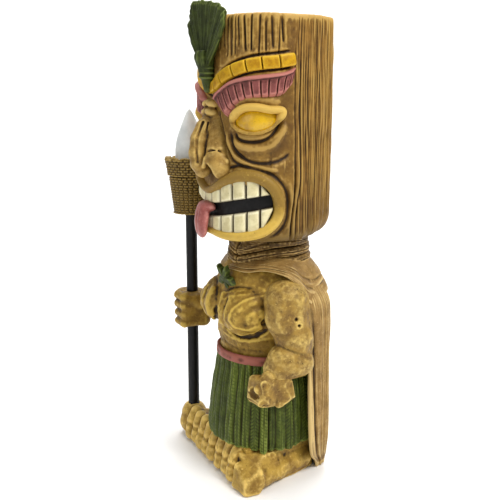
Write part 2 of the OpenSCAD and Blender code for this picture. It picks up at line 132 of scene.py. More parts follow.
# ------------------------------------------------------------------ meshes
def add_mesh(name, verts, faces, material, slot, nodes, body=FIGURE, marks=None, soften=(3, 26)):
    """A piece from millimetre points and quads, with its hollows stored for the paint wash."""
    verts = np.asarray(verts, dtype=float)
    faces = np.asarray(faces, dtype=np.int64)
    mesh = bpy.data.meshes.new(name)
    mesh.vertices.add(len(verts))
    mesh.vertices.foreach_set("co", (verts * MM).ravel())
    size = faces.shape[1]
    mesh.loops.add(faces.size)
    mesh.loops.foreach_set("vertex_index", faces.ravel())
    mesh.polygons.add(len(faces))
    mesh.polygons.foreach_set("loop_start", np.arange(0, faces.size, size))
    mesh.polygons.foreach_set("use_smooth", np.ones(len(faces), dtype=bool))
    mesh.update(calc_edges=True)
    mesh.validate()
    normals = np.empty(len(mesh.vertices) * 3)
    mesh.vertices.foreach_get("normal", normals)
    store(mesh, "fine", hollow(verts, faces, normals.reshape(-1, 3), soften[0]))
    store(mesh, "broad", hollow(verts, faces, normals.reshape(-1, 3), soften[1]))
    for key, values in (marks or {}).items():
        store(mesh, key, values)
    obj = bpy.data.objects.new(name, mesh)
    bpy.context.collection.objects.link(obj)
    obj.data.materials.append(material)
    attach(obj, body)
    for node in nodes:
        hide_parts(node)
    return obj


def store(mesh, name, values):
    layer = mesh.attributes.new(name, "FLOAT", "POINT")
    layer.data.foreach_set("value", np.asarray(values, dtype=np.float32))


def hollow(verts, faces, normals, rounds):
    """How far each point lies below (+) or above (-) its smoothed surroundings, in millimetres."""
    n = len(verts)
    a = faces.ravel()
    b = np.roll(faces, -1, axis=1).ravel()
    i, j = np.r_[a, b], np.r_[b, a]
    count = np.maximum(np.bincount(i, minlength=n), 1)
    p = verts.copy()
    for _ in range(rounds):
        p = np.stack([np.bincount(i, weights=p[j, k], minlength=n) / count for k in range(3)], axis=1)
    return np.einsum("ij,ij->i", p - verts, normals)


def grid_faces(rows, cols, wrap=False, flip=False):
    """Quads of a rows by cols sheet of points; wrap joins the last column to the first."""
    last = cols if wrap else cols - 1
    r, c = np.meshgrid(np.arange(rows - 1), np.arange(last), indexing="ij")
    c1 = (c + 1) % cols
    quads = np.stack([r * cols + c, r * cols + c1, (r + 1) * cols + c1, (r + 1) * cols + c], axis=-1)
    quads = quads.reshape(-1, 4)
    return quads[:, ::-1] if flip else quads


def outward(verts, faces):
    """The faces of a closed body, turned over if they look inwards."""
    a, b, c, d = (verts[faces[:, k]] for k in range(4))
    volume = np.einsum("ij,ij->i", a, np.cross(b, c)) + np.einsum("ij,ij->i", a, np.cross(c, d))
    return faces if volume.sum() > 0 else faces[:, ::-1]


def closed_tube(sections):
    """Points and quads of a closed body through rings of points, its ends drawn together."""
    rings, around, _ = sections.shape
    ends = []
    for ring in (sections[0], sections[-1]):
        mid = ring.mean(axis=0)
        ends.append([mid + (ring - mid) * s for s in (0.66, 0.33, 0.02)])
    body = np.concatenate([np.array(ends[0][::-1]), sections, np.array(ends[1])])
    verts = body.reshape(-1, 3)
    return verts, outward(verts, grid_faces(len(body), around, wrap=True))


def ring_grid(rows):
    """Points and quads of a closed band: rings of points, the last joined to the first."""
    stack = np.stack(rows)
    n, m, _ = stack.shape
    verts = stack.reshape(-1, 3)
    here, beside = np.arange(m), (np.arange(m) + 1) % m
    last = np.stack([(n - 1) * m + here, (n - 1) * m + beside, beside, here], axis=1)
    return verts, outward(verts, np.vstack([grid_faces(n, m, wrap=True), last]))


def sheet_edge(n, m):
    """Numbers of the points round the edge of an n by m sheet, and of the next one after each."""
    rim = np.r_[np.arange(m), np.arange(1, n) * m + m - 1, (n - 1) * m + np.arange(m - 2, -1, -1),
                np.arange(n - 2, 0, -1) * m]
    return rim, np.roll(rim, -1)


def around(m):
    """m angles round the figure, from behind by its right side and front back to behind."""
    return np.linspace(-math.pi, math.pi, m, endpoint=False)


def level_ring(phi, r, z, middle=(0, 0)):
    """Points at distance r from an upright axis, at angles phi from the front, at height z."""
    return np.stack([middle[0] + r * np.sin(phi), middle[1] - r * np.cos(phi), z + 0 * phi], axis=1)


# ------------------------------------------------------------------ the log's wrapped surface
def wrap(s, z, h):
    """Point h proud of the log, s round it from the middle of the front, at height z."""
    s, z, h = np.broadcast_arrays(*(np.asarray(v, dtype=float) for v in (s, z, h)))
    side = np.where(s < 0, -1.0, 1.0)
    a = np.abs(s)
    back = a > QUARTER
    a = np.where(back, 2 * QUARTER - a, a)
    flat, arc = HEAD_W / 2 - HEAD_R, HEAD_R * math.pi / 2
    t = np.clip((a - flat) / HEAD_R, 0, math.pi / 2)
    x = np.minimum(a, flat) + (HEAD_R + h) * np.sin(t)
    y = -(HEAD_D / 2 - HEAD_R) - (HEAD_R + h) * np.cos(t) + np.maximum(a - flat - arc, 0)
    y = np.where(back, -y, y)
    return np.stack([side * x, y, z], axis=-1)


def muzzle(s, z):
    """How far the mouth's surround swells forward of the log."""
    return 2.2 * bump_at(s, 0, 20) * smooth(156, 166, z) * smooth(206, 194, z)


def strip(centre, half, height, sink, n, across=14, closed=False, relief=None, flat=0.0):
    """A raised moulding that follows a line (s, z) on the log.

    half and height are functions of t along the line; relief(t, v) adds to the height at v across.
    """
    line = through(centre, n, closed)
    t = np.arange(n) / (n if closed else n - 1)
    if closed:
        tangent = np.roll(line, -1, axis=0) - np.roll(line, 1, axis=0)
    else:
        tangent = np.gradient(line, axis=0)
    tangent /= np.linalg.norm(tangent, axis=1)[:, None]
    side = np.stack([-tangent[:, 1], tangent[:, 0]], axis=1)
    angle = np.linspace(0, math.pi, across)
    v = -np.cos(angle)
    crown = np.sin(angle) ** (0.75 - flat)
    T, V = np.meshgrid(t, v, indexing="ij")
    H = height(T) * crown[None, :]
    if relief is not None:
        H = H + relief(T, V) * smooth(0, 0.35, crown)[None, :]
    W = half(T)
    s = line[:, None, 0] + side[:, None, 0] * V * W
    z = line[:, None, 1] + side[:, None, 1] * V * W
    under = np.full((n, 2), -sink)
    s = np.concatenate([s, s[:, ::-1][:, [0, -1]]], axis=1)
    z = np.concatenate([z, z[:, ::-1][:, [0, -1]]], axis=1)
    H = np.concatenate([H, under], axis=1)
    return s, z, H


def moulding(name, material, slot, nodes, parts, base=None, **more):
    """One piece from several strips laid on the log (base adds the swell below them)."""
    verts, faces, start = [], [], 0
    for s, z, h, closed in parts:
        lift = base(s, z) if base is not None else 0
        p = wrap(s, z, h + lift)
        v, f = ring_grid(p) if closed else closed_tube(p)
        verts.append(v)
        faces.append(f + start)
        start += len(v)
    return add_mesh(name, np.vstack(verts), np.vstack(faces), material, slot, nodes, **more)


# ------------------------------------------------------------------ sculpting with distances
class Clay:
    """A block of space on a grid; each shape is a field of distances to its surface."""

    def __init__(self, lo, hi, step):
        self.lo, self.step = np.array(lo, dtype=float), step
        axes = [np.arange(a, b + step, step, dtype=np.float32) for a, b in zip(lo, hi)]
        self.shape = tuple(len(a) for a in axes)
        self.x, self.y, self.z = np.meshgrid(*axes, indexing="ij", sparse=True)

    def egg(self, c, radii, tilt=(0, 0, 0)):
        """Ellipsoid with half-sizes radii, turned by tilt degrees about x, y and z."""
        x, y, z = self.local(c, tilt)
        rx, ry, rz = radii
        k0 = np.sqrt((x / rx) ** 2 + (y / ry) ** 2 + (z / rz) ** 2)
        k1 = np.sqrt((x / rx**2) ** 2 + (y / ry**2) ** 2 + (z / rz**2) ** 2) + 1e-6
        return k0 * (k0 - 1) / k1

    def brick(self, c, half, r, tilt=(0, 0, 0)):
        """Box with rounded edges of radius r."""
        x, y, z = self.local(c, tilt)
        q = [np.abs(v) - (a - r) for v, a in zip((x, y, z), half)]
        outside = np.sqrt(sum(np.maximum(v, 0) ** 2 for v in q))
        return outside + np.minimum(np.maximum(np.maximum(q[0], q[1]), q[2]), 0) - r

    def limb(self, a, b, ra, rb):
        """Rod from a to b whose radius runs from ra to rb, with round ends."""
        d = np.array(b, dtype=float) - np.array(a, dtype=float)
        x, y, z = self.x - a[0], self.y - a[1], self.z - a[2]
        t = np.clip((x * d[0] + y * d[1] + z * d[2]) / (d @ d), 0, 1)
        dist = np.sqrt((x - t * d[0]) ** 2 + (y - t * d[1]) ** 2 + (z - t * d[2]) ** 2)
        return dist - (ra + (rb - ra) * t)

    def cord(self, points, r):
        out = None
        for a, b in zip(points[:-1], points[1:]):
            d = self.limb(a, b, r, r)
            out = d if out is None else np.minimum(out, d)
        return out

    def local(self, c, tilt):
        x, y, z = self.x - c[0], self.y - c[1], self.z - c[2]
        ax, ay, az = (math.radians(v) for v in tilt)
        if az:
            x, y = x * math.cos(az) + y * math.sin(az), -x * math.sin(az) + y * math.cos(az)
        if ay:
            x, z = x * math.cos(ay) - z * math.sin(ay), x * math.sin(ay) + z * math.cos(ay)
        if ax:
            y, z = y * math.cos(ax) + z * math.sin(ax), -y * math.sin(ax) + z * math.cos(ax)
        return x, y, z

    def noise(self, size, seed):
        """Smooth random field, about -1 to 1, with lumps of the given size."""
        rng = np.random.default_rng(seed)
        sizes = size if isinstance(size, tuple) else (size,) * 3
        n = [int(math.ceil(k * self.step / s)) + 2 for k, s in zip(self.shape, sizes)]
        out = rng.uniform(-1, 1, n).astype(np.float32)
        for axis in range(3):
            u = np.arange(self.shape[axis]) * self.step / sizes[axis]
            i = u.astype(int)
            f = (u - i).astype(np.float32)
            f = f * f * (3 - 2 * f)
            f = f.reshape([-1 if k == axis else 1 for k in range(3)])
            out = np.take(out, i, axis=axis) * (1 - f) + np.take(out, i + 1, axis=axis) * f
        return out

    def skin(self, dist):
        """Points and quads of the surface where dist is zero."""
        full = np.broadcast_to(dist, self.shape).astype(np.float32)
        full = np.pad(np.clip(full, -4 * self.step, 4 * self.step), 1, constant_values=4 * self.step)
        grid = openvdb.FloatGrid(4 * self.step)
        grid.copyFromArray(full)
        grid.transform = openvdb.createLinearTransform(voxelSize=self.step)
        points, quads = grid.convertToQuads(isovalue=0)
        points = np.asarray(points, dtype=float) + self.lo - self.step
        return points, outward(points, np.asarray(quads, dtype=np.int64))


def mirrored(clay):
    """The same block with x folded, so one half is shaped and both appear."""
    half = copy.copy(clay)
    half.x = np.abs(clay.x)
    return half


def join(a, b, k=0.0):
    if k <= 0:
        return np.minimum(a, b)
    h = np.clip(0.5 + 0.5 * (b - a) / k, 0, 1)
    return b + (a - b) * h - k * h * (1 - h)


def carve(a, b, k=0.0):
    """a with b taken away."""
    return -join(-a, b, k)


def keep(a, b, k=0.0):
    """The part of a inside b."""
    return -join(-a, -b, k)


def cuts(body, clay, *lines):
    """body with grooves taken out of it; each is (points, radius, softness)."""
    for points, r, k in lines:
        body = carve(body, clay.cord(points, r), k)
    return body


def flats(body, clay, k, *planes):
    """body cut flat by planes; each is (point on it, the way it faces)."""
    for at, facing in planes:
        n = np.array(facing, dtype=float)
        n /= np.linalg.norm(n)
        away = (clay.x - at[0]) * n[0] + (clay.y - at[1]) * n[1] + (clay.z - at[2]) * n[2]
        body = keep(body, away, k)
    return body


def sculpt(name, clay, dist, material, slot, nodes, **more):
    verts, faces = clay.skin(dist)
    return add_mesh(name, verts, faces, material, slot, nodes, **more)


# ------------------------------------------------------------------ materials
class Paint:
    """Small helper that builds a node material step by step."""

    def __init__(self, name):
        self.material = bpy.data.materials.new(name)
        self.material.use_nodes = True
        self.nodes = self.material.node_tree.nodes
        self.links = self.material.node_tree.links
        self.nodes.clear()
        self.out = self.nodes.new("ShaderNodeOutputMaterial")
        self.shader = self.nodes.new("ShaderNodeBsdfPrincipled")
        self.links.new(self.shader.outputs["BSDF"], self.out.inputs["Surface"])
        self.coords = self.nodes.new("ShaderNodeTexCoord").outputs["Object"]

    def fixed(self, **values):
        """Constant inputs go straight onto the shader's own sockets."""
        for key, value in values.items():
            self.shader.inputs[key.replace("_", " ")].default_value = value
        return self

    def link(self, socket, value):
        self.links.new(value, self.shader.inputs[socket])

    def maths(self, op, a, b, clamp=False):
        node = self.nodes.new("ShaderNodeMath")
        node.operation, node.use_clamp = op, clamp
        for i, v in enumerate((a, b)):
            if isinstance(v, (int, float)):
                node.inputs[i].default_value = v
            else:
                self.links.new(v, node.inputs[i])
        return node.outputs[0]

    def times(self, a, b, clamp=False):
        return self.maths("MULTIPLY", a, b, clamp)

    def plus(self, a, b, clamp=False):
        return self.maths("ADD", a, b, clamp)

    def centred(self, a):
        """A noise that lies round 0.5, moved down to lie round 0."""
        return self.maths("SUBTRACT", a, 0.5)

    def ramp(self, value, low, high, a=0.0, b=1.0):
        node = self.nodes.new("ShaderNodeMapRange")
        node.interpolation_type = "SMOOTHSTEP"
        self.links.new(value, node.inputs["Value"])
        for key, v in (("From Min", low), ("From Max", high), ("To Min", a), ("To Max", b)):
            node.inputs[key].default_value = v
        return node.outputs["Result"]

    def stretched(self, scale):
        node = self.nodes.new("ShaderNodeMapping")
        node.inputs["Scale"].default_value = scale
        self.links.new(self.coords, node.inputs["Vector"])
        return node.outputs["Vector"]

    def noise(self, size_mm, detail=3.0, rough=0.55, stretch=None, offset=0.0):
        node = self.nodes.new("ShaderNodeTexNoise")
        node.noise_dimensions = "4D"
        node.inputs["W"].default_value = offset
        node.inputs["Scale"].default_value = 1000.0 / size_mm
        node.inputs["Detail"].default_value = detail
        node.inputs["Roughness"].default_value = rough
        self.links.new(self.stretched(stretch) if stretch else self.coords, node.inputs["Vector"])
        return node.outputs["Fac"]

    def pits(self, size_mm, low, high):
        """Round specks: 1 at the middle of each cell, 0 outside."""
        node = self.nodes.new("ShaderNodeTexVoronoi")
        node.inputs["Scale"].default_value = 1000.0 / size_mm
        self.links.new(self.coords, node.inputs["Vector"])
        return self.ramp(node.outputs["Distance"], low, high, 1.0, 0.0)

    def mark(self, name):
        node = self.nodes.new("ShaderNodeAttribute")
        node.attribute_name = name
        return node.outputs["Fac"]

    def mix(self, factor, a, b, blend="MIX"):
        node = self.nodes.new("ShaderNodeMix")
        node.data_type, node.blend_type = "RGBA", blend
        for key, v in (("A", a), ("B", b)):
            socket = [i for i in node.inputs if i.name == key and i.type == "RGBA"][0]
            if isinstance(v, tuple):
                socket.default_value = (*v, 1.0)
            else:
                self.links.new(v, socket)
        fac = node.inputs["Factor"]
        if isinstance(factor, (int, float)):
            fac.default_value = factor
        else:
            self.links.new(factor, fac)
        return [o for o in node.outputs if o.type == "RGBA"][0]

    def bump(self, height, strength=0.5, distance=0.0004):
        node = self.nodes.new("ShaderNodeBump")
        node.inputs["Strength"].default_value = strength
        node.inputs["Distance"].default_value = distance
        self.links.new(height, node.inputs["Height"])
        self.links.new(node.outputs["Normal"], self.shader.inputs["Normal"])


def srgb(r, g, b):
    """Colour from everyday 0 to 255 values to the linear ones the shader takes."""
    return tuple(((v / 255 + 0.055) / 1.055) ** 2.4 if v > 10 else v / 255 / 12.92 for v in (r, g, b))


# dark brown of the wash that runs into hollows; the log also mixes it in as painted shade towards its foot
WASH_AND_SHADE_BROWN = srgb(36, 23, 8)


def painted(name, base, deep, light, wash=1.0, dry=1.0, grain=None, rough=(0.42, 0.62), speck=0.4,
            patch=5.0, coat=0.0, wash_at=0.22, dry_at=0.16, bump=0.5, stain=False, tone=False,
            mottle=0.55):
    """Cast resin: a base coat in patches, a dark wash in hollows, a light dry brush on ridges."""
    base, deep, light = srgb(*base), srgb(*deep), srgb(*light)
    p = Paint(name)
    blotch = p.ramp(p.noise(patch, 4.0, 0.6), 0.34, 0.66)
    if tone:
        blotch = p.plus(p.times(blotch, 0.5), p.times(p.mark("tone"), 0.6), clamp=True)
    colour = p.mix(blotch, base, deep)
    fine = p.noise(0.9, 3.0, 0.6, offset=3.0)
    streak = p.noise(1.6, 4.0, 0.65, stretch=grain or (1, 1, 1), offset=7.0)
    colour = p.mix(p.times(p.ramp(streak, 0.54, 0.74), mottle), colour, tuple(0.38 * v for v in deep))
    colour = p.mix(p.times(p.ramp(streak, 0.44, 0.26), mottle), colour, light)
    near, far = p.mark("fine"), p.mark("broad")
    # dry brush: only the raised parts, broken up by the grain
    raised = p.plus(p.times(near, -2.2), p.times(far, -0.75))
    raised = p.plus(raised, p.times(p.centred(streak), 0.9))
    brushed = p.times(p.ramp(raised, 0.05, dry_at + 0.6), 0.9 * dry, clamp=True)
    if tone:
        brushed = p.times(brushed, p.ramp(p.mark("tone"), 0.2, 1.0, 1.0, 0.25))
    colour = p.mix(brushed, colour, light)
    # wash: what ran into the hollows
    sunk = p.plus(p.times(near, 2.6), p.times(far, 0.9))
    sunk = p.plus(sunk, p.times(p.centred(fine), 0.35))
    washed = p.times(p.ramp(sunk, 0.04, wash_at + 0.75), 0.96 * wash, clamp=True)
    colour = p.mix(washed, colour, WASH_AND_SHADE_BROWN)
    if stain:
        ragged = p.times(p.mark("stain"), p.ramp(fine, 0.2, 0.6, 0.75, 1.0))
        colour = p.mix(p.times(ragged, 0.94), colour, srgb(58, 40, 18))
    if speck:
        dots = p.times(p.pits(2.6, 0.05, 0.2), p.ramp(p.noise(6.0, 2.0), 0.5, 0.62))
        colour = p.mix(p.times(dots, speck), colour, WASH_AND_SHADE_BROWN)
    p.link("Base Color", colour)
    p.link("Roughness", p.ramp(p.noise(2.2, 3.0, offset=5.0), 0.3, 0.7, *rough))
    p.bump(p.plus(p.times(streak, 0.7), p.times(fine, 0.5)), bump)
    p.fixed(Coat_Weight=coat, Coat_Roughness=0.25, Specular_IOR_Level=0.2)
    return p.material


def plastic(name, base, alt, rough=(0.3, 0.45), grain_mm=0.5, strength=0.15, **fixed):
    """Moulded part: slight mottling and a fine surface texture."""
    p = Paint(name)
    p.link("Base Color", p.mix(p.ramp(p.noise(6.0, 4.0), 0.3, 0.7), srgb(*base), srgb(*alt)))
    p.link("Roughness", p.ramp(p.noise(1.5, 3.0, offset=2.0), 0.3, 0.7, *rough))
    p.bump(p.noise(grain_mm, 2.0, offset=4.0), strength, 0.0001)
    p.fixed(**fixed)
    return p.material


def metal(name, base, alt, rough=(0.25, 0.45)):
    p = Paint(name)
    p.link("Base Color", p.mix(p.ramp(p.noise(3.0, 4.0), 0.35, 0.7), srgb(*base), srgb(*alt)))
    p.link("Roughness", p.ramp(p.noise(0.6, 3.0, stretch=(1, 1, 6)), 0.3, 0.7, *rough))
    p.bump(p.noise(0.25, 2.0, stretch=(1, 1, 8)), 0.12, 0.00005)
    p.fixed(Metallic=1.0)
    return p.material


nose_paint = painted("nose_paint", (160, 126, 60), (120, 90, 40), (206, 174, 100), patch=6.0, speck=0.6)
face = painted("face_paint", (142, 108, 44), (104, 73, 28), (208, 172, 84), patch=8.0)
skin = painted("skin_paint", (150, 118, 46), (112, 84, 30), (202, 170, 78), patch=7.0, speck=0.8)
ochre = painted("ochre_paint", (192, 156, 58), (116, 86, 32), (210, 176, 84),
                patch=6.0, speck=0.5, tone=True, dry=0.8)
cloth = painted("cape_paint", (114, 86, 40), (68, 48, 20), (202, 168, 104),
                grain=(1, 1, 0.12), patch=7.0, speck=0.3)
green = painted("green_paint", (82, 94, 26), (46, 56, 12), (124, 136, 58),
                grain=(1, 1, 0.2), patch=5.0, speck=0.0, wash=0.9, tone=True, mottle=0.4)
leaf_green = painted("leaf_paint", (60, 70, 22), (38, 46, 12), (96, 108, 48),
                     grain=(1, 1, 0.1), patch=6.0, speck=0.0, wash=0.8)
pink = painted("pink_paint", (126, 70, 66), (90, 47, 43), (182, 117, 106), patch=6.0, speck=0.4)
tongue_pink = painted("tongue_paint", (170, 96, 88), (140, 72, 66), (206, 140, 130),
                      patch=5.0, speck=0.2, coat=0.2, rough=(0.3, 0.45))
gold = painted("gold_paint", (192, 147, 10), (158, 111, 6), (214, 174, 44), patch=4.0, speck=0.4, dry=0.8)
eye_gold = painted("eye_paint", (208, 164, 8), (164, 118, 4), (226, 188, 26),
                   patch=7.0, speck=0.25, dry=0.5, coat=0.7, rough=(0.22, 0.34), bump=0.15)
ivory = painted("tooth_paint", (224, 214, 170), (198, 186, 140), (236, 228, 192),
                patch=6.0, speck=0.25, wash=0.9, rough=(0.35, 0.5), bump=0.25, stain=True, mottle=0.12)
basket = painted("basket_paint", (112, 88, 34), (84, 64, 20), (158, 130, 66), patch=4.0, speck=0.3)
black = painted("mouth_black", (16, 14, 14), (10, 9, 9), (34, 30, 30), speck=0.0, wash=0.0, dry=0.3)
pole_black = painted("pole_black", (20, 20, 21), (13, 13, 14), (36, 36, 38), speck=0.0,
                     wash=0.3, dry=0.6, rough=(0.35, 0.5))


# ------------------------------------------------------------------ head: the log
def bark_relief(s, z):
    """Upright bark of the back half."""
    a = np.abs(s) + 0.9 * noise2(s, z, 9.0, 34.0, 3) + 0.25 * noise2(s, z, 3.0, 12.0, 4)
    ridge = np.zeros_like(a)
    rng = np.random.default_rng(11)
    place = QUARTER - 1.0
    while place < 2 * QUARTER + 4:
        width = rng.uniform(0.28, 0.6)
        depth = rng.uniform(0.35, 1.25)
        low, high = rng.uniform(150, 190), rng.uniform(262, 300)
        if rng.random() < 0.45:
            low, high = 150, 300
        fade = smooth(low, low + 8, z) * smooth(high, high - 8, z)
        ridge -= depth * fade * bump_at(a, place, width)
        place += rng.uniform(1.1, 2.6)
    ridge += 0.5 * noise2(s, z, 1.0, 18.0, 5) + 0.6 * noise2(s, z, 4.5, 30.0, 6)
    return ridge


def crown_grooves(s, z):
    """Wedge-shaped cuts above the headband."""
    out = np.zeros_like(s)
    rng = np.random.default_rng(5)
    for side in (-1, 1):
        place = 2.0
        while place < 58:
            top_w, low_w = rng.uniform(0.5, 1.1), rng.uniform(0.3, 0.7)
            start = 269 + rng.uniform(0, 8) if rng.random() < 0.6 else 268
            end = 296 if rng.random() < 0.6 else rng.uniform(282, 291)
            lean = rng.uniform(-1.4, 1.4)
            t = np.clip((z - 268) / 24, 0, 1)
            mid = place + lean * t
            width = low_w + (top_w - low_w) * t
            fade = smooth(start - 1, start + 2, z) * smooth(end + 1, end - 5, z)
            out -= rng.uniform(0.9, 1.7) * fade * bump_at(side * s, mid, width)
            place += rng.uniform(2.6, 4.6)
    return out


BAND = [(0, 249.5), (7, 251.8), (17, 256.6), (25, 259.8), (34, 262.4), (43, 263.8), (53, 264.8),
        (62.5, 266.4)]
BROW_TOP = [(7.5, 243), (10, 246.5), (16, 250), (23, 253.6), (32, 256), (40, 257), (49, 258),
            (57, 259.2), (63, 261.5)]
BROW_LOW = [(20.5, 233.2), (22.5, 234.6), (24.5, 236.6), (27.5, 239.4), (34, 242.6), (41, 243.8),
            (48, 244.4), (55, 246.2), (61.5, 254)]


# lines of the carved face, on its left half: points, width, rise (a cut where it is below 0), and the
# share of the length over which each end fades
FACE_LINES = [
    # the upper lid's own swell
    ([(23, 240), (33, 243.5), (46, 243), (56, 241)], 2.6, 1.6, 0.15),
    # bag below the eye: a dark crease, then a crisp ridge, then a soft fall
    ([(24, 226), (28, 220.6), (36, 218.6), (45, 220.2), (52, 226), (55, 233)], 1.0, -1.9, 0.12),
    ([(24.5, 222), (29, 216.6), (38, 214.6), (48, 216.6), (55, 224), (58, 231)], 2.4, 1.8, 0.15),
    ([(22, 227), (23.5, 219), (28, 212), (35, 207.6), (46, 206.4), (56, 209), (62, 213.5)], 1.3, -1.35, 0.12),
    # cheek fold from the nose's wing, and the crease under it
    ([(19.5, 226), (21.5, 217), (26, 210.5), (34, 206), (44, 203.2), (55, 202)], 1.3, 1.7, 0.15),
    ([(17.5, 223), (19.5, 214), (24, 207.6), (33, 204)], 1.0, -1.6, 0.12),
    ([(48, 206), (58, 205.5)], 4.0, 0.9, 0.15),
    # crease along the foot of the nose's flank
    ([(8.5, 238), (12.5, 228), (18.0, 217), (23.5, 209)], 1.5, -2.4, 0.12),
    # round the lips
    ([(17, 202), (28, 204.6), (40, 203.6), (51, 198.5), (58, 190), (59.5, 179), (57, 169), (50, 162.5),
      (40, 159)], 1.2, -1.5, 0.08),
    ([(60, 198), (61.5, 180), (58, 166)], 1.8, 0.9, 0.15),
]


def line_rise(s, z, points, width, rise, ends):
    """Ridge or cut along a line on both sides of the face, fading out at its ends."""
    d, t = to_line(np.abs(s), z, through(points, 40))
    fade = smooth(0, ends, t) * smooth(1, 1 - ends, t) if ends else 1.0
    return rise * bump_at(d, 0, width) * fade


def face_relief(s, z):
    a = np.abs(s)
    out = muzzle(s, z)
    # channels above and below the headband
    out += line_rise(s, z, [(x, y + 5.0) for x, y in BAND], 0.75, -2.2, 0.0) * smooth(61, 57, a)
    out += line_rise(s, z, [(x, y - 4.3) for x, y in BAND], 0.8, -1.6, 0.0) * smooth(62, 58, a)
    # hollow of the eye under the brow
    d, _ = to_line(a, z, [(30, 231), (48, 231)])
    out -= 3.2 * smooth(9.5, 3.0, d)
    for line in FACE_LINES:
        out += line_rise(s, z, *line)
    # the mouth's floor sinks a little behind the teeth
    mouth, _ = to_line(a, z, [(0, 176), (20, 178), (42, 181)])
    out -= 3.4 * smooth(14.5, 11.0, mouth)
    # tool marks on the plain cheek
    out += 0.35 * noise2(s, z, 5.0, 7.0, 21) + 0.15 * noise2(s, z, 1.6, 2.4, 22)
    return out


def log_relief(s, z):
    a = np.abs(s)
    front = smooth(QUARTER + 0.5, QUARTER - 4.0, a)
    out = bark_relief(s, z) * (1 - front)
    below_band = smooth(270, 266, z - 0.12 * (a - 60))
    plain = face_relief(s, z)
    crown = crown_grooves(s, z) + 0.3 * noise2(s, z, 1.3, 14.0, 23) + 0.3 * noise2(s, z, 6.0, 20.0, 24)
    out += front * np.where(below_band > 0.5, plain, np.minimum(plain, 0) + crown)
    # the cut that parts the carved front from the bark
    seam = QUARTER - 2.6 + 0.8 * noise2(s * 0 + np.sign(s), z, 1.0, 24.0, 8) - 2.4 * smooth(200, 160, z)
    out -= (0.9 + 1.7 * smooth(214, 196, z)) * smooth(286, 262, z) * bump_at(a, seam, 0.7)
    second = seam + 3.4 + 0.5 * noise2(s, z, 50.0, 20.0, 9)
    out -= 1.5 * bump_at(a, second, 0.6) * smooth(292, 240, z)
    return out


def build_log():
    front_cols = np.arange(-QUARTER, QUARTER, 0.46)
    back_cols = np.arange(QUARTER, 3 * QUARTER, 0.56)
    s = np.r_[front_cols, back_cols]
    s = np.where(s > 2 * QUARTER, s - 4 * QUARTER, s)
    zs = np.arange(HEAD_Z0, HEAD_Z1 + 0.01, 0.7)
    S, Z = np.meshgrid(s, zs, indexing="xy")
    H = log_relief(S, Z)
    # the trunk narrows a little towards its back and foot
    H -= (2.7 + 0.6 * smooth(236, 165, Z)) * smooth(QUARTER - 4, QUARTER + 26, np.abs(S))
    # worn edges: the top is softly broken, the lower edge is rounded, most of all at the back
    back = smooth(QUARTER - 12, QUARTER + 30, np.abs(S))
    low = 3.0 + 12.0 * back
    d = np.clip((Z - HEAD_Z0) / low, 0, 1)
    H -= low * 0.9 * (1 - np.sqrt(1 - (1 - d) ** 2))
    top = 2.2 + 1.4 * noise2(S, Z * 0, 7.0, 1.0, 31)
    e = np.clip((HEAD_Z1 - Z) / top, 0, 1)
    H -= top * 0.7 * (1 - np.sqrt(1 - (1 - e) ** 2))
    wall = wrap(S, Z, H)
    # underside and top are drawn in to the middle; the top has the panel's seat
    seat, floor = 24.2, HEAD_Z1 - 5.0  # the seat's half side, and its height
    rim = wall[-1]
    lip = rim.copy()
    longest = np.maximum(np.abs(rim[:, 0]), np.abs(rim[:, 1]))
    lip[:, :2] *= (seat / longest)[:, None]
    rings = [rim + (lip - rim) * t for t in (0.05, 0.2, 0.4, 0.6, 0.8, 1.0)]
    for k, ring in enumerate(rings):
        ring[:, 2] = HEAD_Z1 + (0.25 * noise2(ring[:, 0], ring[:, 1], 3.0, 3.0, 33) - 0.35) * (k < 5)
    rings[-1][:, 2] = HEAD_Z1 - 0.2
    seat_floor = lip.copy()
    seat_floor[:, 2] = floor - 0.1
    inner = [seat_floor * [f, f, 1] for f in (1.0, 0.6, 0.25, 0.01)]
    under = [wall[0] * [f, f, 1] for f in (0.01, 0.3, 0.6, 0.9)]
    rows = np.concatenate([np.array(under), wall, np.array(rings), np.array(inner)])
    verts = rows.reshape(-1, 3)
    faces = grid_faces(len(rows), len(s), wrap=True)
    barky = smooth(QUARTER - 8, QUARTER, np.abs(S))
    below, above = np.ones((len(under), len(s))), np.ones((len(rings) + len(inner), len(s)))
    barky = np.concatenate([below, barky, above]).ravel()
    # painted shade: the log darkens below the headband, more towards its foot and most on its underside,
    # where shade falls under the top light
    painted_shade = 0.12 * smooth(264, 240, Z) + 0.24 * smooth(205, 170, Z) + 0.36 * smooth(170, 159, Z)
    painted_shade = np.concatenate([0.8 * below, painted_shade, 0 * above]).ravel()
    add_mesh("head_log_carved", verts, outward(verts, faces), log_paint, "bark_resin", ["head_log"],
             marks={"barky": barky, "painted_shade": painted_shade})


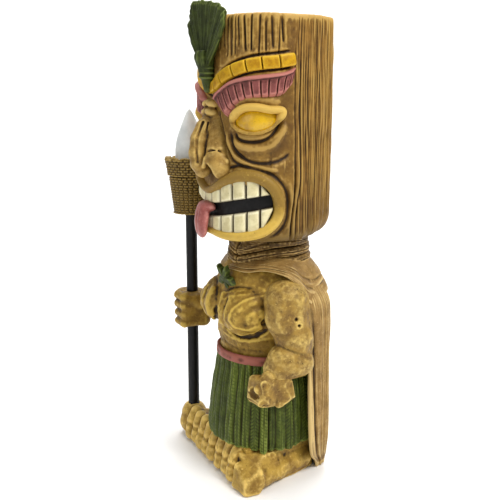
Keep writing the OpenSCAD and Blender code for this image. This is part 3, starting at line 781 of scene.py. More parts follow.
def log_material():
    """Bark colours at the back, the plainer carved-face colours in front."""
    p = Paint("log_paint")
    barky = p.mark("barky")
    patch = p.ramp(p.noise(9.0, 4.0, 0.6), 0.32, 0.68)
    carved = p.mix(patch, srgb(134, 100, 40), srgb(98, 69, 27))
    raw = p.mix(patch, srgb(136, 99, 40), srgb(100, 69, 24))
    streak = p.noise(1.5, 4.0, 0.65, stretch=(1, 1, 0.06), offset=7.0)
    tool = p.noise(2.2, 4.0, 0.6, offset=9.0)
    raw = p.mix(p.ramp(streak, 0.54, 0.72), raw, srgb(84, 56, 20))
    raw = p.mix(p.ramp(streak, 0.44, 0.28), raw, srgb(170, 132, 68))
    carved = p.mix(p.times(p.ramp(tool, 0.54, 0.74), 0.7), carved, srgb(84, 58, 24))
    carved = p.mix(p.times(p.ramp(tool, 0.44, 0.26), 0.6), carved, srgb(166, 132, 66))
    colour = p.mix(barky, carved, raw)
    fine = p.noise(0.9, 3.0, 0.6, offset=3.0)
    near, far = p.mark("fine"), p.mark("broad")
    grain = p.mix(barky, tool, streak)
    grain = p.centred(grain)
    raised = p.plus(p.times(near, -2.4), p.times(far, -0.8))
    raised = p.plus(raised, p.times(grain, 1.3))
    colour = p.mix(p.times(p.ramp(raised, 0.1, 1.0), 0.8), colour, srgb(188, 152, 80))
    sunk = p.plus(p.times(near, 2.6), p.times(far, 0.9))
    sunk = p.plus(sunk, p.times(p.centred(fine), 0.4))
    colour = p.mix(p.times(p.ramp(sunk, 0.04, 1.0), 0.96), colour, WASH_AND_SHADE_BROWN)
    # painted shade towards the log's foot and underside
    colour = p.mix(p.mark("painted_shade"), colour, WASH_AND_SHADE_BROWN)
    p.link("Base Color", colour)
    p.link("Roughness", p.ramp(p.noise(2.2, 3.0, offset=5.0), 0.3, 0.7, 0.42, 0.62))
    p.bump(p.plus(grain, p.times(fine, 0.5)), 0.6)
    p.fixed(Specular_IOR_Level=0.2)
    return p.material


log_paint = log_material()
build_log()


# ------------------------------------------------------------------ head: band, brows, eyes
def build_headband():
    joints = (1.2, 7.0, 15.0, 25.0, 34.0, 43.0, 53.0)  # between the blocks, from the middle outwards
    n, lift = 260, 2.7
    grid = np.linspace(0, 1, n)
    parts = []
    for side in (-1, 1):
        line = [(side * s, z) for s, z in BAND][::side]
        at = np.abs(through(line, n)[:, 0])

        def half(t, at=at):
            a = np.interp(t, grid, at)
            end = smooth(64.5, 61.0, a)
            return (3.7 - 0.9 * smooth(12, 0, a)) * (0.55 + 0.45 * end)

        def height(t, at=at):
            a = np.interp(t, grid, at)
            cut = np.zeros_like(a)
            for j in joints:
                cut = np.maximum(cut, bump_at(a, j, 0.36))
            return lift * (1 - 0.9 * cut) * (0.4 + 0.6 * smooth(65, 60, a)) + 0.1

        parts.append((*strip(line, half, height, 1.5, n, across=16, flat=0.5), False))
    moulding("headband_blocks", gold, "gold_paint", ["headband"], parts, soften=(3, 10))


def ruled(top, low, n, across, profile):
    """Sheet between two lines on the log, with a height profile(t, v) over it."""
    a, b = through(top, n), through(low, n)
    v = np.linspace(0, 1, across)
    line = a[:, None, :] * (1 - v)[None, :, None] + b[:, None, :] * v[None, :, None]
    t = np.linspace(0, 1, n)
    T, V = np.meshgrid(t, v, indexing="ij")
    h = profile(T, V)
    s = np.concatenate([line[..., 0], line[:, ::-1, 0][:, [0, -1]]], axis=1)
    z = np.concatenate([line[..., 1], line[:, ::-1, 1][:, [0, -1]]], axis=1)
    h = np.concatenate([h, np.full((n, 2), -2.0)], axis=1)
    return s, z, h


def build_brows():
    n, across, parts = 240, 26, []
    cuts = (0.06, 0.14, 0.22, 0.3, 0.39, 0.47, 0.56, 0.65, 0.73, 0.82, 0.9, 0.98)

    def profile(t, v):
        ridge = 4.4 * np.exp(-(((v - 0.12) / 0.13) ** 2))
        body = 3.3 * smooth(1.04, 0.84, v) * smooth(-0.03, 0.06, v)
        h = np.maximum(ridge, body) * (0.35 + 0.65 * smooth(0, 0.05, t) * smooth(1, 0.93, t))
        for c in cuts:
            h = h - 1.5 * bump_at(t + 0.12 * v, c, 0.0062) * smooth(0.2, 0.32, v)
        return h

    for side in (-1, 1):
        top = [(side * s, z) for s, z in BROW_TOP]
        low = [(side * s, z) for s, z in BROW_LOW]
        if side < 0:
            sheet = ruled(low, top, n, across, lambda t, v: profile(t, 1 - v))
        else:
            sheet = ruled(top, low, n, across, profile)
        parts.append((*sheet, False))
    moulding("brow_ridges", pink, "pink_paint", ["brows"], parts, soften=(3, 10))


LID = [(24.2, 229.4), (26.8, 234.6), (31.5, 238.0), (39.0, 239.0), (47.0, 237.6), (54.5, 236.6),
       (52.0, 230.6), (47.5, 226.4), (40.0, 224.0), (32.0, 224.6), (26.8, 226.8)]


def build_lids_and_eyes():
    n = 220
    grid = np.arange(n) / n
    rings, spokes = 34, 64
    lids, balls, start = [], [], 0
    for side in (-1, 1):
        line = [(side * s, z) for s, z in LID][::side]
        path = through(line, n, closed=True)
        up = smooth(-2.5, 3.5, path[:, 1] - 231.5)

        def half(t, up=up):
            return 1.05 + 1.35 * np.interp(t, grid, up)

        def height(t, up=up):
            return 2.0 + 2.8 * np.interp(t, grid, up)

        lids.append((*strip(line, half, height, 4.0, n, across=14, closed=True), True))
        # eyeball: a glossy almond dome behind the lids
        u = np.linspace(0.02, math.pi - 0.02, rings)
        v = np.linspace(0, 2 * math.pi, spokes, endpoint=False)
        U, V = np.meshgrid(u, v, indexing="ij")
        es = side * (39.2 + 14.2 * np.sin(U) * np.cos(V))
        ez = 230.9 + 8.0 * np.sin(U) * np.sin(V) + 0.05 * (es * side - 39)
        eh = -2.6 + 4.9 * np.cos(U)
        ball = wrap(es, ez, eh).reshape(-1, 3)
        balls.append((ball, outward(ball, grid_faces(rings, spokes, wrap=True)) + start))
        start += len(ball)
    moulding("eyelid_rims", face, "bark_resin", ["eyelids"], lids, soften=(3, 12))
    add_mesh("eyeballs", np.vstack([b[0] for b in balls]), np.vstack([b[1] for b in balls]),
             eye_gold, "eye_gloss", ["eyes"], soften=(2, 8))


build_headband()
build_brows()
build_lids_and_eyes()


# ------------------------------------------------------------------ head: nose
def build_nose():
    c = Clay((-24, -56, 188), (24, -30, 250), 0.55)
    half = mirrored(c)
    nose = c.limb((0, -36.5, 233), (0, -43.5, 226.5), 5.0, 5.6)
    # the bridge, from root to tip: y, z and radius
    bridge = [(-43.5, 226.5, 5.6), (-47.0, 219, 5.9), (-47.9, 211, 6.1), (-47.2, 205, 5.9), (-45.4, 201, 5.3)]
    for (ya, za, ra), (yb, zb, rb) in zip(bridge[:-1], bridge[1:]):
        nose = join(nose, c.limb((0, ya, za), (0, yb, zb), ra, rb), 1.0)
    nose = join(nose, half.limb((5, -37, 231), (11.5, -39.5, 209), 4.4, 8.2), 1.6)
    wing = half.egg((14.0, -39.6, 203.6), (7.8, 8.2, 7.6), (0, 0, 24))
    nose = join(nose, wing, 1.6)
    nose = join(nose, half.cord([(7, -47.4, 203), (10, -47.4, 208), (15.5, -44.2, 210), (20.5, -38.2, 207)],
                                1.5), 1.4)
    nose = carve(nose, half.egg((11.4, -46.8, 199.4), (5.4, 4.6, 5.2), (0, 0, 25)), 1.8)
    nose = cuts(nose, half,
                ([(3, -45.9, 229.5), (4.7, -50.8, 221), (5.1, -51.4, 213), (5.1, -50.8, 206)], 0.9, 0.6),
                ([(4.6, -43.2, 229.5), (6.8, -46.4, 220), (8.2, -47.8, 210.5)], 0.6, 0.6),
                ([(8.4, -47.6, 212.0), (13.4, -45.4, 213.4), (20.5, -38.6, 212.6)], 0.5, 1.6))
    # frown lumps where the brows meet
    for z, r, y in ((236.0, 2.6, -40.4), (241.0, 2.3, -39.8)):
        nose = join(nose, half.egg((2.8, y, z), (5.2, 3.9, r), (0, 14, 0)), 1.4)
    nose = nose + 0.2 * c.noise(3.4, 41) + 0.08 * c.noise(1.6, 42)
    sculpt("nose_carved", c, nose, nose_paint, "bark_resin", ["nose"], soften=(3, 22))


build_nose()

# ------------------------------------------------------------------ head: mouth
LIP = [(0, 188.2, 2.5), (10, 190.6, 2.8), (20, 195.6, 3.2), (31, 199.0, 3.7), (40, 198.4, 3.6),
       (47, 194.8, 3.6), (52, 188.2, 3.5), (53.6, 180.0, 3.4), (51.2, 172.2, 3.2),
       (45.4, 166.4, 3.0), (35, 162.9, 2.9), (20, 161.6, 2.7), (8, 162.2, 2.6), (0, 162.6, 2.5)]


def build_lips():
    right = LIP[1:-1]
    loop = [LIP[0]] + right + [LIP[-1]] + [(-s, z, w) for s, z, w in right[::-1]]
    n = 420
    widths = through(loop, n, closed=True)[:, 2]
    grid = np.arange(n) / n

    def half(t):
        return np.interp(t, grid, widths)

    def height(t):
        return 2.6 + 0.35 * np.interp(t, grid, widths)

    def relief(t, v):
        return -0.5 * smooth(0.3, 0.9, v) + 0.15 * np.sin(9 * t * math.pi) * (1 - v * v)

    s, z, h = strip([p[:2] for p in loop], half, height, 5.0, n, across=18, closed=True, relief=relief)
    moulding("lips", ochre, "skin_resin", ["lip_ring"], [(s, z, h, True)], base=muzzle, soften=(3, 16),
             marks={"tone": 1.5 * smooth(166, 190, z.ravel())})


SLOT_LOW = [(-49.5, 180.5), (-30, 176.6), (0, 172.4), (30, 176.6), (49.5, 180.5)]
SLOT_TOP = [(-49.5, 188.0), (-30, 184.6), (0, 180.0), (30, 184.6), (49.5, 188.0)]


def tooth_row(name, lower):
    """Teeth as separate rounded blocks on the swell of the muzzle."""
    joints = [0, 5.5, 15.5, 25, 34, 42, 50] if lower else [0, 5, 15, 24.5, 33.5, 42, 50]
    spans = [(-joints[1], joints[1])]
    for a, b in zip(joints[1:-1], joints[2:]):
        spans += [(a, b), (-b, -a)]
    verts, faces, stains, start = [], [], [], 0
    inner = [(-50, 184), (-40, 194.5), (-28, 195.0), (-14, 189.5), (0, 186.6), (14, 189.5),
             (28, 195.0), (40, 194.5), (50, 184)]
    outer = [(-50, 181), (-44, 169.4), (-30, 165.6), (0, 165.0), (30, 165.6), (44, 169.4), (50, 181)]
    n, m, gap = 22, 26, 0.3
    U, V = np.meshgrid(np.linspace(0, 1, n), np.linspace(0, 1, m), indexing="ij")
    for a, b in spans:
        s = a + gap + (b - a - 2 * gap) * U
        if lower:
            z0, z1 = curve(s, outer) - 1.5, curve(s, SLOT_LOW)
        else:
            z0, z1 = curve(s, SLOT_TOP), curve(s, inner) + 1.5
        z1 = np.maximum(z1, z0 + 0.4)
        z = z0 + (z1 - z0) * V
        edge = np.minimum(np.minimum(U, 1 - U) * (b - a), np.minimum(V, 1 - V) * (z1 - z0))
        round_off = 1 - np.clip(edge / 2.0, 0, 1)
        h = 1.3 - 2.0 * (1 - np.sqrt(np.clip(1 - round_off**2, 0, 1))) + 0.5 * np.sin(math.pi * U)
        gum = smooth(3.0, 0.6, (z1 - z0) * (V if lower else 1 - V))
        stain = np.maximum(smooth(0.75, 0.15, edge), 0.35 * gum)
        stains.append(np.concatenate([stain.ravel(), np.ones(n * m)]))
        top = wrap(s, z, h + muzzle(s, z))
        low = wrap(s, z, -5.0 + muzzle(s, z))
        block = np.concatenate([top.reshape(-1, 3), low.reshape(-1, 3)])
        rim, nxt = sheet_edge(n, m)
        sides = np.stack([rim, rim + n * m, nxt + n * m, nxt], axis=1)
        verts.append(block)
        quads = np.vstack([grid_faces(n, m), grid_faces(n, m, flip=True) + n * m, sides])
        faces.append(outward(block, quads) + start)
        start += len(block)
    node = "lower_teeth" if lower else "upper_teeth"
    add_mesh(name, np.vstack(verts), np.vstack(faces), ivory, "tooth_paint", [node], soften=(2, 6),
             marks={"stain": np.concatenate(stains)})


def build_mouth_slot():
    """The black gap between the rows."""
    n, m = 200, 10
    s = np.linspace(-49.8, 49.8, n)
    low, top = curve(s, SLOT_LOW) - 0.8, curve(s, SLOT_TOP) + 0.8
    v = np.linspace(0, 1, m)
    z = low[:, None] + (top - low)[:, None] * v[None, :]
    S = np.repeat(s[:, None], m, axis=1)
    h = -1.6 + 0.5 * np.sin(math.pi * v)[None, :] + muzzle(S, z)
    ring = np.concatenate([wrap(S, z, h), wrap(S, z, muzzle(S, z) - 6.0)[:, ::-1]], axis=1)
    add_mesh("mouth_gap", *closed_tube(ring), black, "black_paint", ["mouth_lining"], soften=(2, 6))


def build_tongue():
    c = Clay((-14, -62, 156), (14, -38, 190), 0.45)
    t = c.egg((0, -42.6, 178.0), (9.2, 4.6, 3.4), (-14, 0, 0))
    t = join(t, c.egg((0, -46.2, 172.0), (8.8, 3.3, 7.6), (-6, 0, 0)), 2.5)
    t = join(t, c.egg((0, -46.9, 164.8), (7.2, 3.0, 6.8), (4, 0, 0)), 2.5)
    t = carve(t, c.cord([(0, -49.2, 178), (0, -50.4, 171), (0, -50.2, 161)], 0.75), 1.2)
    t = carve(t, c.egg((3.4, -49.9, 161.0), (0.9, 1.0, 0.9)), 0.5)
    t = t + 0.07 * c.noise(2.4, 51)
    sculpt("tongue_out", c, t, tongue_pink, "pink_paint", ["tongue"], soften=(3, 14))


build_lips()
tooth_row("teeth_upper", False)
tooth_row("teeth_lower", True)
build_mouth_slot()
build_tongue()


# ------------------------------------------------------------------ head: leaf tuft
# how far the fan reaches at each angle from upright, in degrees and mm
LEAF_REACH = [(-42.5, 25), (-37, 37), (-31, 40.5), (-27, 41), (-20, 46.0), (-14, 44.2), (-8, 43.6), (0, 42.4),
              (8, 42.0), (19, 42.4), (29, 43.0), (37, 40.6), (42, 33), (44, 26)]
LEAF_SPREAD = (-43.8, 45.0)
# folds of the fan: angle, width and depth
LEAF_FOLDS = [(-31.5, 1.6, 3.0), (-14, 2.0, 2.0), (1.4, 1.9, 3.2), (12, 1.4, 1.4), (22, 1.8, 2.2),
              (33, 1.7, 2.4)]


def build_leaf():
    """A cupped fan of leaves, pleated from the knot to a ragged top."""
    n, m = 80, 260
    first, last = LEAF_SPREAD
    angle = np.linspace(first, last, m)
    reach = curve(angle, LEAF_REACH) + 0.7 * noise2(angle, angle * 0, 3.0, 1.0, 63)
    T, A = np.meshgrid(np.linspace(0.0, 1.0, n), angle, indexing="ij")
    knot_r = 5.0
    r = knot_r + (reach[None, :] - knot_r) * T
    x = r * np.sin(np.radians(A)) * (1 + 0.1 * smooth(10, 40, A))
    z = 258.6 + r * np.cos(np.radians(A))
    y = -42.6 - 0.022 * r + 0.05 * x * smooth(0, 20, r)
    fold = np.zeros_like(A)
    for at, width, depth in LEAF_FOLDS:
        fold -= depth * bump_at(A, at, width)
    ribs = 0.22 * np.cos(A * 2.1) + 0.3 * noise2(A * 0.5, r, 1.3, 30.0, 64)
    edge = np.minimum(smooth(first, -41, A), smooth(last, 42, A)) * smooth(1.0, 0.95, T)
    thick = (1.9 - 0.5 * T) * (0.25 + 0.75 * edge)
    swell_in = smooth(0.0, 0.3, T)
    front = np.stack([x, y - thick + (-fold - ribs) * 0.9 * swell_in, z], axis=-1)
    rear = np.stack([x, y + thick + (-0.75 * fold - ribs) * swell_in, z], axis=-1)
    verts = np.concatenate([front.reshape(-1, 3), rear.reshape(-1, 3)])
    rim, nxt = sheet_edge(n, m)
    sides = np.stack([rim, nxt, nxt + n * m, rim + n * m], axis=1)
    faces = np.vstack([grid_faces(n, m, flip=True), grid_faces(n, m) + n * m, sides])
    add_mesh("leaf_tuft", verts, outward(verts, faces), leaf_green, "green_paint", ["head_leaf"],
             soften=(3, 12))
    c = Clay((-10, -52, 244), (10, -34, 272), 0.5)
    knot = c.limb((0, -41, 250), (0, -42.4, 262), 3.0, 4.6)
    knot = join(knot, c.limb((0, -42.2, 259), (0, -43.2, 268), 4.3, 6.2), 1.0)
    for z in (256.5, 259.4, 262.3):
        knot = join(knot, c.egg((0, -42.0, z), (5.6, 5.0, 1.4), (0, 8, 0)), 0.5)
    angle = np.arctan2(c.x, -(c.y + 42))
    knot = knot + 0.3 * np.cos(11 * angle) * smooth(262, 265, c.z) + 0.12 * c.noise(1.5, 61)
    sculpt("leaf_knot", c, knot, leaf_green, "green_paint", [], soften=(3, 10))


build_leaf()


# ------------------------------------------------------------------ body: torso and arms
def oval_stack(clay, levels):
    """Body whose level cuts are ovals: (z, half width, half depth, middle y)."""
    z = clay.z
    a, b, m = (curve(z, [(v[0], v[k]) for v in levels]).astype(np.float32) for k in (1, 2, 3))
    r = np.sqrt((clay.x / a) ** 2 + ((clay.y - m) / b) ** 2)
    side = (r - 1) * np.minimum(a, b)
    return np.maximum(side, np.maximum(levels[0][0] - z, z - levels[-1][0]))


def chipped(clay, dist, seed, amount=1.0):
    """Knife-cut surface: flat chips and small pits."""
    broad, mid, small = clay.noise(8.5, seed), clay.noise(3.6, seed + 1), clay.noise(1.6, seed + 2)
    return dist + amount * (0.7 * broad + 0.4 * np.abs(mid) + 0.1 * small)


def etch(clay, dist, line, width, height):
    """Raise (or cut) the front of a body along a line drawn in x and z."""
    near = None
    for (ax, az), (bx, bz) in zip(line, line[1:]):
        dx, dz = bx - ax, bz - az
        t = np.clip(((clay.x - ax) * dx + (clay.z - az) * dz) / (dx * dx + dz * dz), 0, 1)
        d = np.hypot(clay.x - ax - t * dx, clay.z - az - t * dz)
        near = d if near is None else np.minimum(near, d)
    return dist - height * np.exp(-((near / width) ** 2)) * smooth(-2.0, -10.0, clay.y)


def build_torso():
    c = Clay((-43, -47, 76), (43, 38, 154), 0.75)
    half = mirrored(c)
    body = oval_stack(c, [(76, 31, 29.5, -1.5), (86, 30.5, 30, -1.5), (98, 33, 31.5, -2), (112, 36.5, 33, -2),
                          (124, 36.5, 31, -2), (133, 34, 29, -1.5), (139, 30.5, 26.5, -1), (146, 24, 22, 0),
                          (153, 19, 18, 0)])
    chest = half.egg((15.5, -19.5, 112.5), (17.5, 20.5, 17.5), (10, 0, 12))
    # the crease follows the line where breast and trunk meet
    crease = np.sqrt(chest ** 2 + body ** 2) - 1.7 + 0.35 * np.maximum(half.z - 108, 0)
    body = carve(join(body, chest, 0.8), crease, 1.0)
    body = cuts(body, half, ([(0, -37, 123), (0, -40, 114), (0, -39, 104)], 1.8, 2.2))
    body = join(body, half.cord([(8, -35.5, 122), (9.5, -38.2, 114), (10, -37.6, 105)], 1.3), 4.5)
    body = cuts(body, half, ([(15.5, -36.5, 121), (16, -40.2, 113), (15, -40.4, 106)], 0.6, 2.2))
    # an oval patch with a raised rim on the outer half of the breast
    oval = [(35, 126), (29, 123.5), (24.5, 116), (23, 109), (25, 104.5), (29.5, 102.6), (34, 106.5),
            (36.4, 114)]
    body = etch(half, body, oval, 0.8, 0.6)
    body = etch(half, body, [(33.5, 121), (29, 113), (28.5, 106)], 1.6, -0.8)
    # light lines fanning from the armpit over the breast
    for lift in (0.0, 4.2, 8.0):
        body = etch(half, body, [(34, 127), (27, 125.6 + 0.5 * lift), (18, 122.5 + 0.9 * lift),
                                 (11, 119.5 + lift)], 0.8, 0.28)
    # folds of the belly
    body = etch(half, body, [(3, 95.5), (12, 92.8), (22, 92.6), (31, 96)], 0.9, 0.45)
    body = etch(half, body, [(2, 88.5), (14, 86.2), (25, 86.6)], 1.2, -0.35)
    body = body + 0.4 * c.noise(4.5, 71) + 0.22 * c.noise(1.8, 72)
    sculpt("torso_carved", c, body, skin, "skin_resin", ["torso"], soften=(3, 26))


def build_left_arm():
    c = Clay((20, -36, 62), (60, 22, 140), 0.65)
    upper = c.limb((37.5, -6, 121), (41.5, -2, 94), 14.0, 12.0)
    upper = join(upper, c.egg((40.5, -7.5, 112), (12.5, 13.5, 15.5), (6, 0, 0)), 2.0)
    # knife-cut planes of the upper arm, with crisp edges between
    upper = flats(upper, c, 1.2, ((51.4, -9.5, 112), (1, -0.32, 0.05)), ((50.4, 1.5, 112), (1, 0.75, 0.1)),
                  ((45.0, -19.4, 112), (0.42, -1, 0.04)))
    upper = join(upper, c.egg((45.0, -2.5, 99), (9.5, 11.0, 9.5), (0, 0, 15)), 1.6)
    fore = c.egg((43.0, -5.5, 84.5), (12.2, 15.5, 11.8), (-14, 0, 0))
    fore = join(fore, c.limb((42.5, -7, 84), (42.3, -14, 80), 11.0, 9.2), 2.0)
    fore = flats(fore, c, 1.5, ((54.4, -8, 86), (1, -0.2, 0.15)), ((50, -3, 75.0), (0.55, 0.1, -1)),
                 ((47, -20.5, 88), (0.3, -1, 0.5)))
    arm = join(upper, fore, 0.8)
    arm = cuts(arm, c, ([(44, -19, 95), (51, -14.5, 94), (54.5, -8, 94.5)], 1.0, 1.0))
    arm = carve(arm, c.egg((44.5, -19.5, 96), (7, 5.0, 3.4)), 0.8)
    for at in ((51.5, -6.5, 113), (51.6, -4.8, 109)):
        arm = carve(arm, c.egg(at, (0.9, 0.7, 0.8)), 0.8)
    arm = chipped(c, arm, 81, 0.6)
    # the brighter skin copy: painted light on the lamp-facing arm
    sculpt("left_arm_carved", c, arm, skin_with_painted_light, "skin_resin", ["left_arm"], soften=(3, 22))


def build_left_fist():
    c = Clay((26, -38, 52), (58, 0, 86), 0.5)
    fist = c.brick((43, -24.5, 67.5), (8.6, 7.0, 8.6), 3.2, (-8, 0, 10))
    back = c.brick((43.2, -12.4, 66.0), (8.8, 7.2, 8.4), 3.4, (10, 0, -12))
    fist = join(fist, back, 0.6)
    fist = join(fist, c.limb((42.5, -13, 74), (43, -17, 71), 7.6, 7.6), 1.2)
    # thumb laid over the front, and the hollow of the curled fingers
    fist = join(fist, c.limb((45.5, -22, 76.5), (46.5, -29.5, 70), 4.4, 3.4), 0.8)
    fist = carve(fist, c.egg((43.5, -32.0, 67.0), (4.2, 3.6, 3.4)), 0.8)
    fist = cuts(fist, c, ([(51, -17.8, 76), (52.4, -18.4, 68), (50.5, -18.8, 58)], 1.0, 0.8),
                ([(52.4, -31, 69.4), (52.8, -22, 67.2)], 0.5, 0.7),
                *(([(38, -32.6, z), (47, -31.6, z - 0.4), (50.6, -27, z - 0.6)], 0.55, 0.6)
                  for z in (61.8, 66.4)))
    fist = flats(fist, c, 0.4, ((51.8, -25, 72), (1, -0.25, 0.35)), ((51.8, -24, 62), (1, -0.3, -0.5)),
                 ((51.8, -12, 70), (1, 0.35, 0.25)), ((50.5, -11, 60.5), (0.7, 0.4, -0.8)))
    fist = chipped(c, fist, 91, 0.6)
    # the brighter skin copy: painted light on the lamp-facing fist
    sculpt("left_fist_carved", c, fist, skin_with_painted_light, "skin_resin", ["left_fist"], soften=(3, 14))


def build_right_arm():
    c = Clay((-74, -26, 78), (-22, 22, 140), 0.75)
    arm = c.limb((-37, -3, 121), (-53, 6, 95), 14.0, 10.5)
    arm = join(arm, c.egg((-43, -2, 113), (12, 12.5, 14), (0, 28, 0)), 2.0)
    arm = join(arm, c.limb((-54, 5, 94), (-59.5, -19, 96), 11.0, 8.4), 2.0)
    arm = cuts(arm, c, ([(-44, 8, 103), (-50, 3, 104), (-54, -6, 106)], 1.0, 1.4))
    arm = chipped(c, arm, 101, 0.9)
    sculpt("right_arm_carved", c, arm, skin, "skin_resin", ["right_arm"], soften=(3, 22))


def build_right_fist():
    c = Clay((-77, -48, 78), (-43, -12, 114), 0.55)
    px, py = POLE
    fist = c.brick((px + 0.5, py + 0.5, 96), (10.6, 10.8, 12.6), 5.0, (0, 0, -8))
    for z in (86.6, 93.0, 99.4, 105.6):
        finger = c.cord([(px - 9.0, py + 6, z), (px - 9.6, py - 5, z), (px - 3, py - 9.6, z),
                         (px + 6.5, py - 8.6, z)], 3.3)
        fist = join(fist, finger, 0.8)
    for z in (89.8, 96.2, 102.6):  # between the fingers
        fist = cuts(fist, c, ([(px - 13.4, py + 4, z), (px - 12.4, py - 9, z), (px - 3, py - 13.6, z),
                               (px + 8, py - 12.4, z)], 0.9, 0.6))
    fist = join(fist, c.limb((px + 9, py + 2, 100), (px + 6, py - 7.5, 105.8), 4.2, 3.4), 0.8)
    fist = cuts(fist, c, ([(px + 11, py - 8, 84), (px + 11.4, py - 8.4, 100)], 0.9, 1.0))
    fist = chipped(c, fist, 111, 0.7)
    sculpt("right_fist_carved", c, fist, skin, "skin_resin", ["right_fist"], soften=(3, 14))


# ------------------------------------------------------------------ dress
CAPE_INSIDE_Y = 22.0  # the plane of the cape's inside at the ground
CAPE_LEAN = math.tan(math.radians(6.2))
DRESS_OVERLAP = 1.0


def cape_plane(z):
    """How far back the dress may reach: just into the cape."""
    return CAPE_INSIDE_Y - z * CAPE_LEAN + DRESS_OVERLAP


SKIRT_WIDTH = [(18, 37.0), (30, 38.2), (45, 37.6), (62, 35.4), (74, 33.0), (81, 31.8)]
SKIRT_DEPTH = [(18, 36.4), (30, 37.0), (45, 35.8), (62, 33.4), (74, 31.4), (81, 30.6)]
WAIST_X, WAIST_Y = 1.0, -1.5  # the axis of skirt and belt
SKIRT_TOP, SKIRT_HEM = 80.5, 23.0
STRANDS, LONG_STRAND = 36, 23


def build_skirt():
    phi = around(640)
    rng = np.random.default_rng(7)
    widths = rng.uniform(0.75, 1.25, STRANDS)
    edges = np.concatenate([[0], np.cumsum(widths)]) / widths.sum()
    k = (phi + math.pi) / (2 * math.pi)
    idx = np.clip(np.searchsorted(edges, k, side="right") - 1, 0, STRANDS - 1)
    u = (k - edges[idx]) / (edges[idx + 1] - edges[idx]) * 2 - 1
    drop = rng.uniform(-0.7, 0.9, STRANDS)
    drop[LONG_STRAND] = 2.4
    shade = rng.uniform(-0.4, 0.4, STRANDS)
    plait = rng.uniform(0.25, 1.0, STRANDS)
    hem = SKIRT_HEM - drop[idx] * (1 - np.abs(u) ** 3) + 0.5 * np.abs(u) ** 4
    chosen = idx == LONG_STRAND
    rows = []

    def add_row(z, proud, clear):
        y = WAIST_Y - (curve(z, SKIRT_DEPTH) + proud) * np.cos(phi)
        narrow = 1 - 0.11 * smooth(-4, 11, y)  # towards the back
        x = WAIST_X + (curve(z, SKIRT_WIDTH) + proud) * np.sin(phi) * narrow
        rows.append(np.stack([x, np.minimum(y, cape_plane(z) - clear), z], axis=1))

    for v in np.linspace(0, 1, 116):
        z = SKIRT_TOP + (hem - SKIRT_TOP) * v
        ridge = 1.5 * (1 - np.abs(u) ** 2.4) - 0.5 * bump_at(u, 0, 0.07)
        side = np.where(idx % 2 == 0, np.abs(u), 0.5 + 0.5 * u)
        hatch = (z + 2.8 * side + 1.3 * np.sin(idx * 5.0) + 0.35 * noise2(phi * 38, z, 3.0, 7.0, 122)) / 2.3
        cut = np.abs((hatch - np.floor(hatch)) - 0.5) * 2
        weave = -0.62 * smooth(0.6, 1.0, cut) * smooth(0.06, 0.3, np.abs(u)) * (1 - 0.45 * np.abs(u))
        lift = (ridge + weave * plait[idx]) * (0.4 + 0.6 * smooth(0, 0.05, v))
        lift = lift + 0.8 * shade[idx] + 0.9 * chosen - 1.6 * smooth(0.985, 1.0, v)
        lift = lift + 0.35 * noise2(phi * 40, z, 2.0, 6.0, 121) + 0.35 * noise2(phi * 40, z, 1.0, 22.0, 123)
        add_row(z, lift, 0.0)
    for v, inset in ((1.0, 3.0), (0.6, 4.5), (0.2, 4.0), (0.0, 4.0)):
        add_row(SKIRT_TOP + (hem + 1.0 - SKIRT_TOP) * v, -inset, 2.5)
    tone = np.tile(np.clip(0.5 - shade[idx] - 0.6 * chosen, 0, 1), len(rows))
    add_mesh("skirt_strands", *ring_grid(rows), green, "green_paint", ["grass_skirt"], soften=(2, 12),
             marks={"tone": tone})


def build_belt():
    phi = around(320)
    rows = []
    for t in np.linspace(0, 2 * math.pi, 20, endpoint=False):
        out = 1.5 * np.sign(np.cos(t)) * abs(np.cos(t)) ** 0.8
        up = 3.0 * np.sign(np.sin(t)) * abs(np.sin(t)) ** 0.8
        dent = 0.3 * noise2(phi * 34, phi * 0 + up, 5.0, 3.0, 131)
        a, b = 32.6 + out + dent, 31.4 + out + dent
        y = np.minimum(WAIST_Y - b * np.cos(phi), cape_plane(80.0))
        rows.append(np.stack([WAIST_X + a * np.sin(phi), y, 80.6 + up + 0.4 * dent], axis=1))
    add_mesh("belt_cord", *ring_grid(rows), belt_pink, "pink_paint", ["waistband"], soften=(3, 14))


CAPE_EDGE_Y = [(0, 25.0), (5, 23.0), (14, 16.0), (24, 12.6), (34, 11.6), (60, 11.4), (90, 10.8), (110, 9.0),
               (122, 7.0), (132, 5.0), (147, 3.0)]
CAPE_WIDTH = [(0, 27.5), (5, 30.0), (14, 37.5), (24, 41.4), (34, 42.2), (60, 41.2), (90, 41.2), (110, 42.8),
              (122, 42.0), (132, 35.0), (140, 27.0), (147, 20.0)]
CAPE_BACK = [(0, 35.4), (20, 35.2), (60, 35.2), (105, 35.0), (120, 33.2), (130, 28.8), (140, 22.5),
             (147, 18.0)]


def cape_outline(z, turn):
    """Point of the cape's outside at height z; turn is -1 at its right edge, 1 at its left."""
    a = np.asarray(turn) * math.radians(92)
    blunt = 0.72 + 0.2 * smooth(112, 142, z)
    sx, cy = np.sin(a), np.cos(a)
    mid = curve(z, CAPE_EDGE_Y)
    x = curve(z, CAPE_WIDTH) * np.sign(sx) * np.abs(sx) ** blunt
    y = mid + (curve(z, CAPE_BACK) - mid) * np.sign(cy) * np.abs(cy) ** blunt
    return x, y


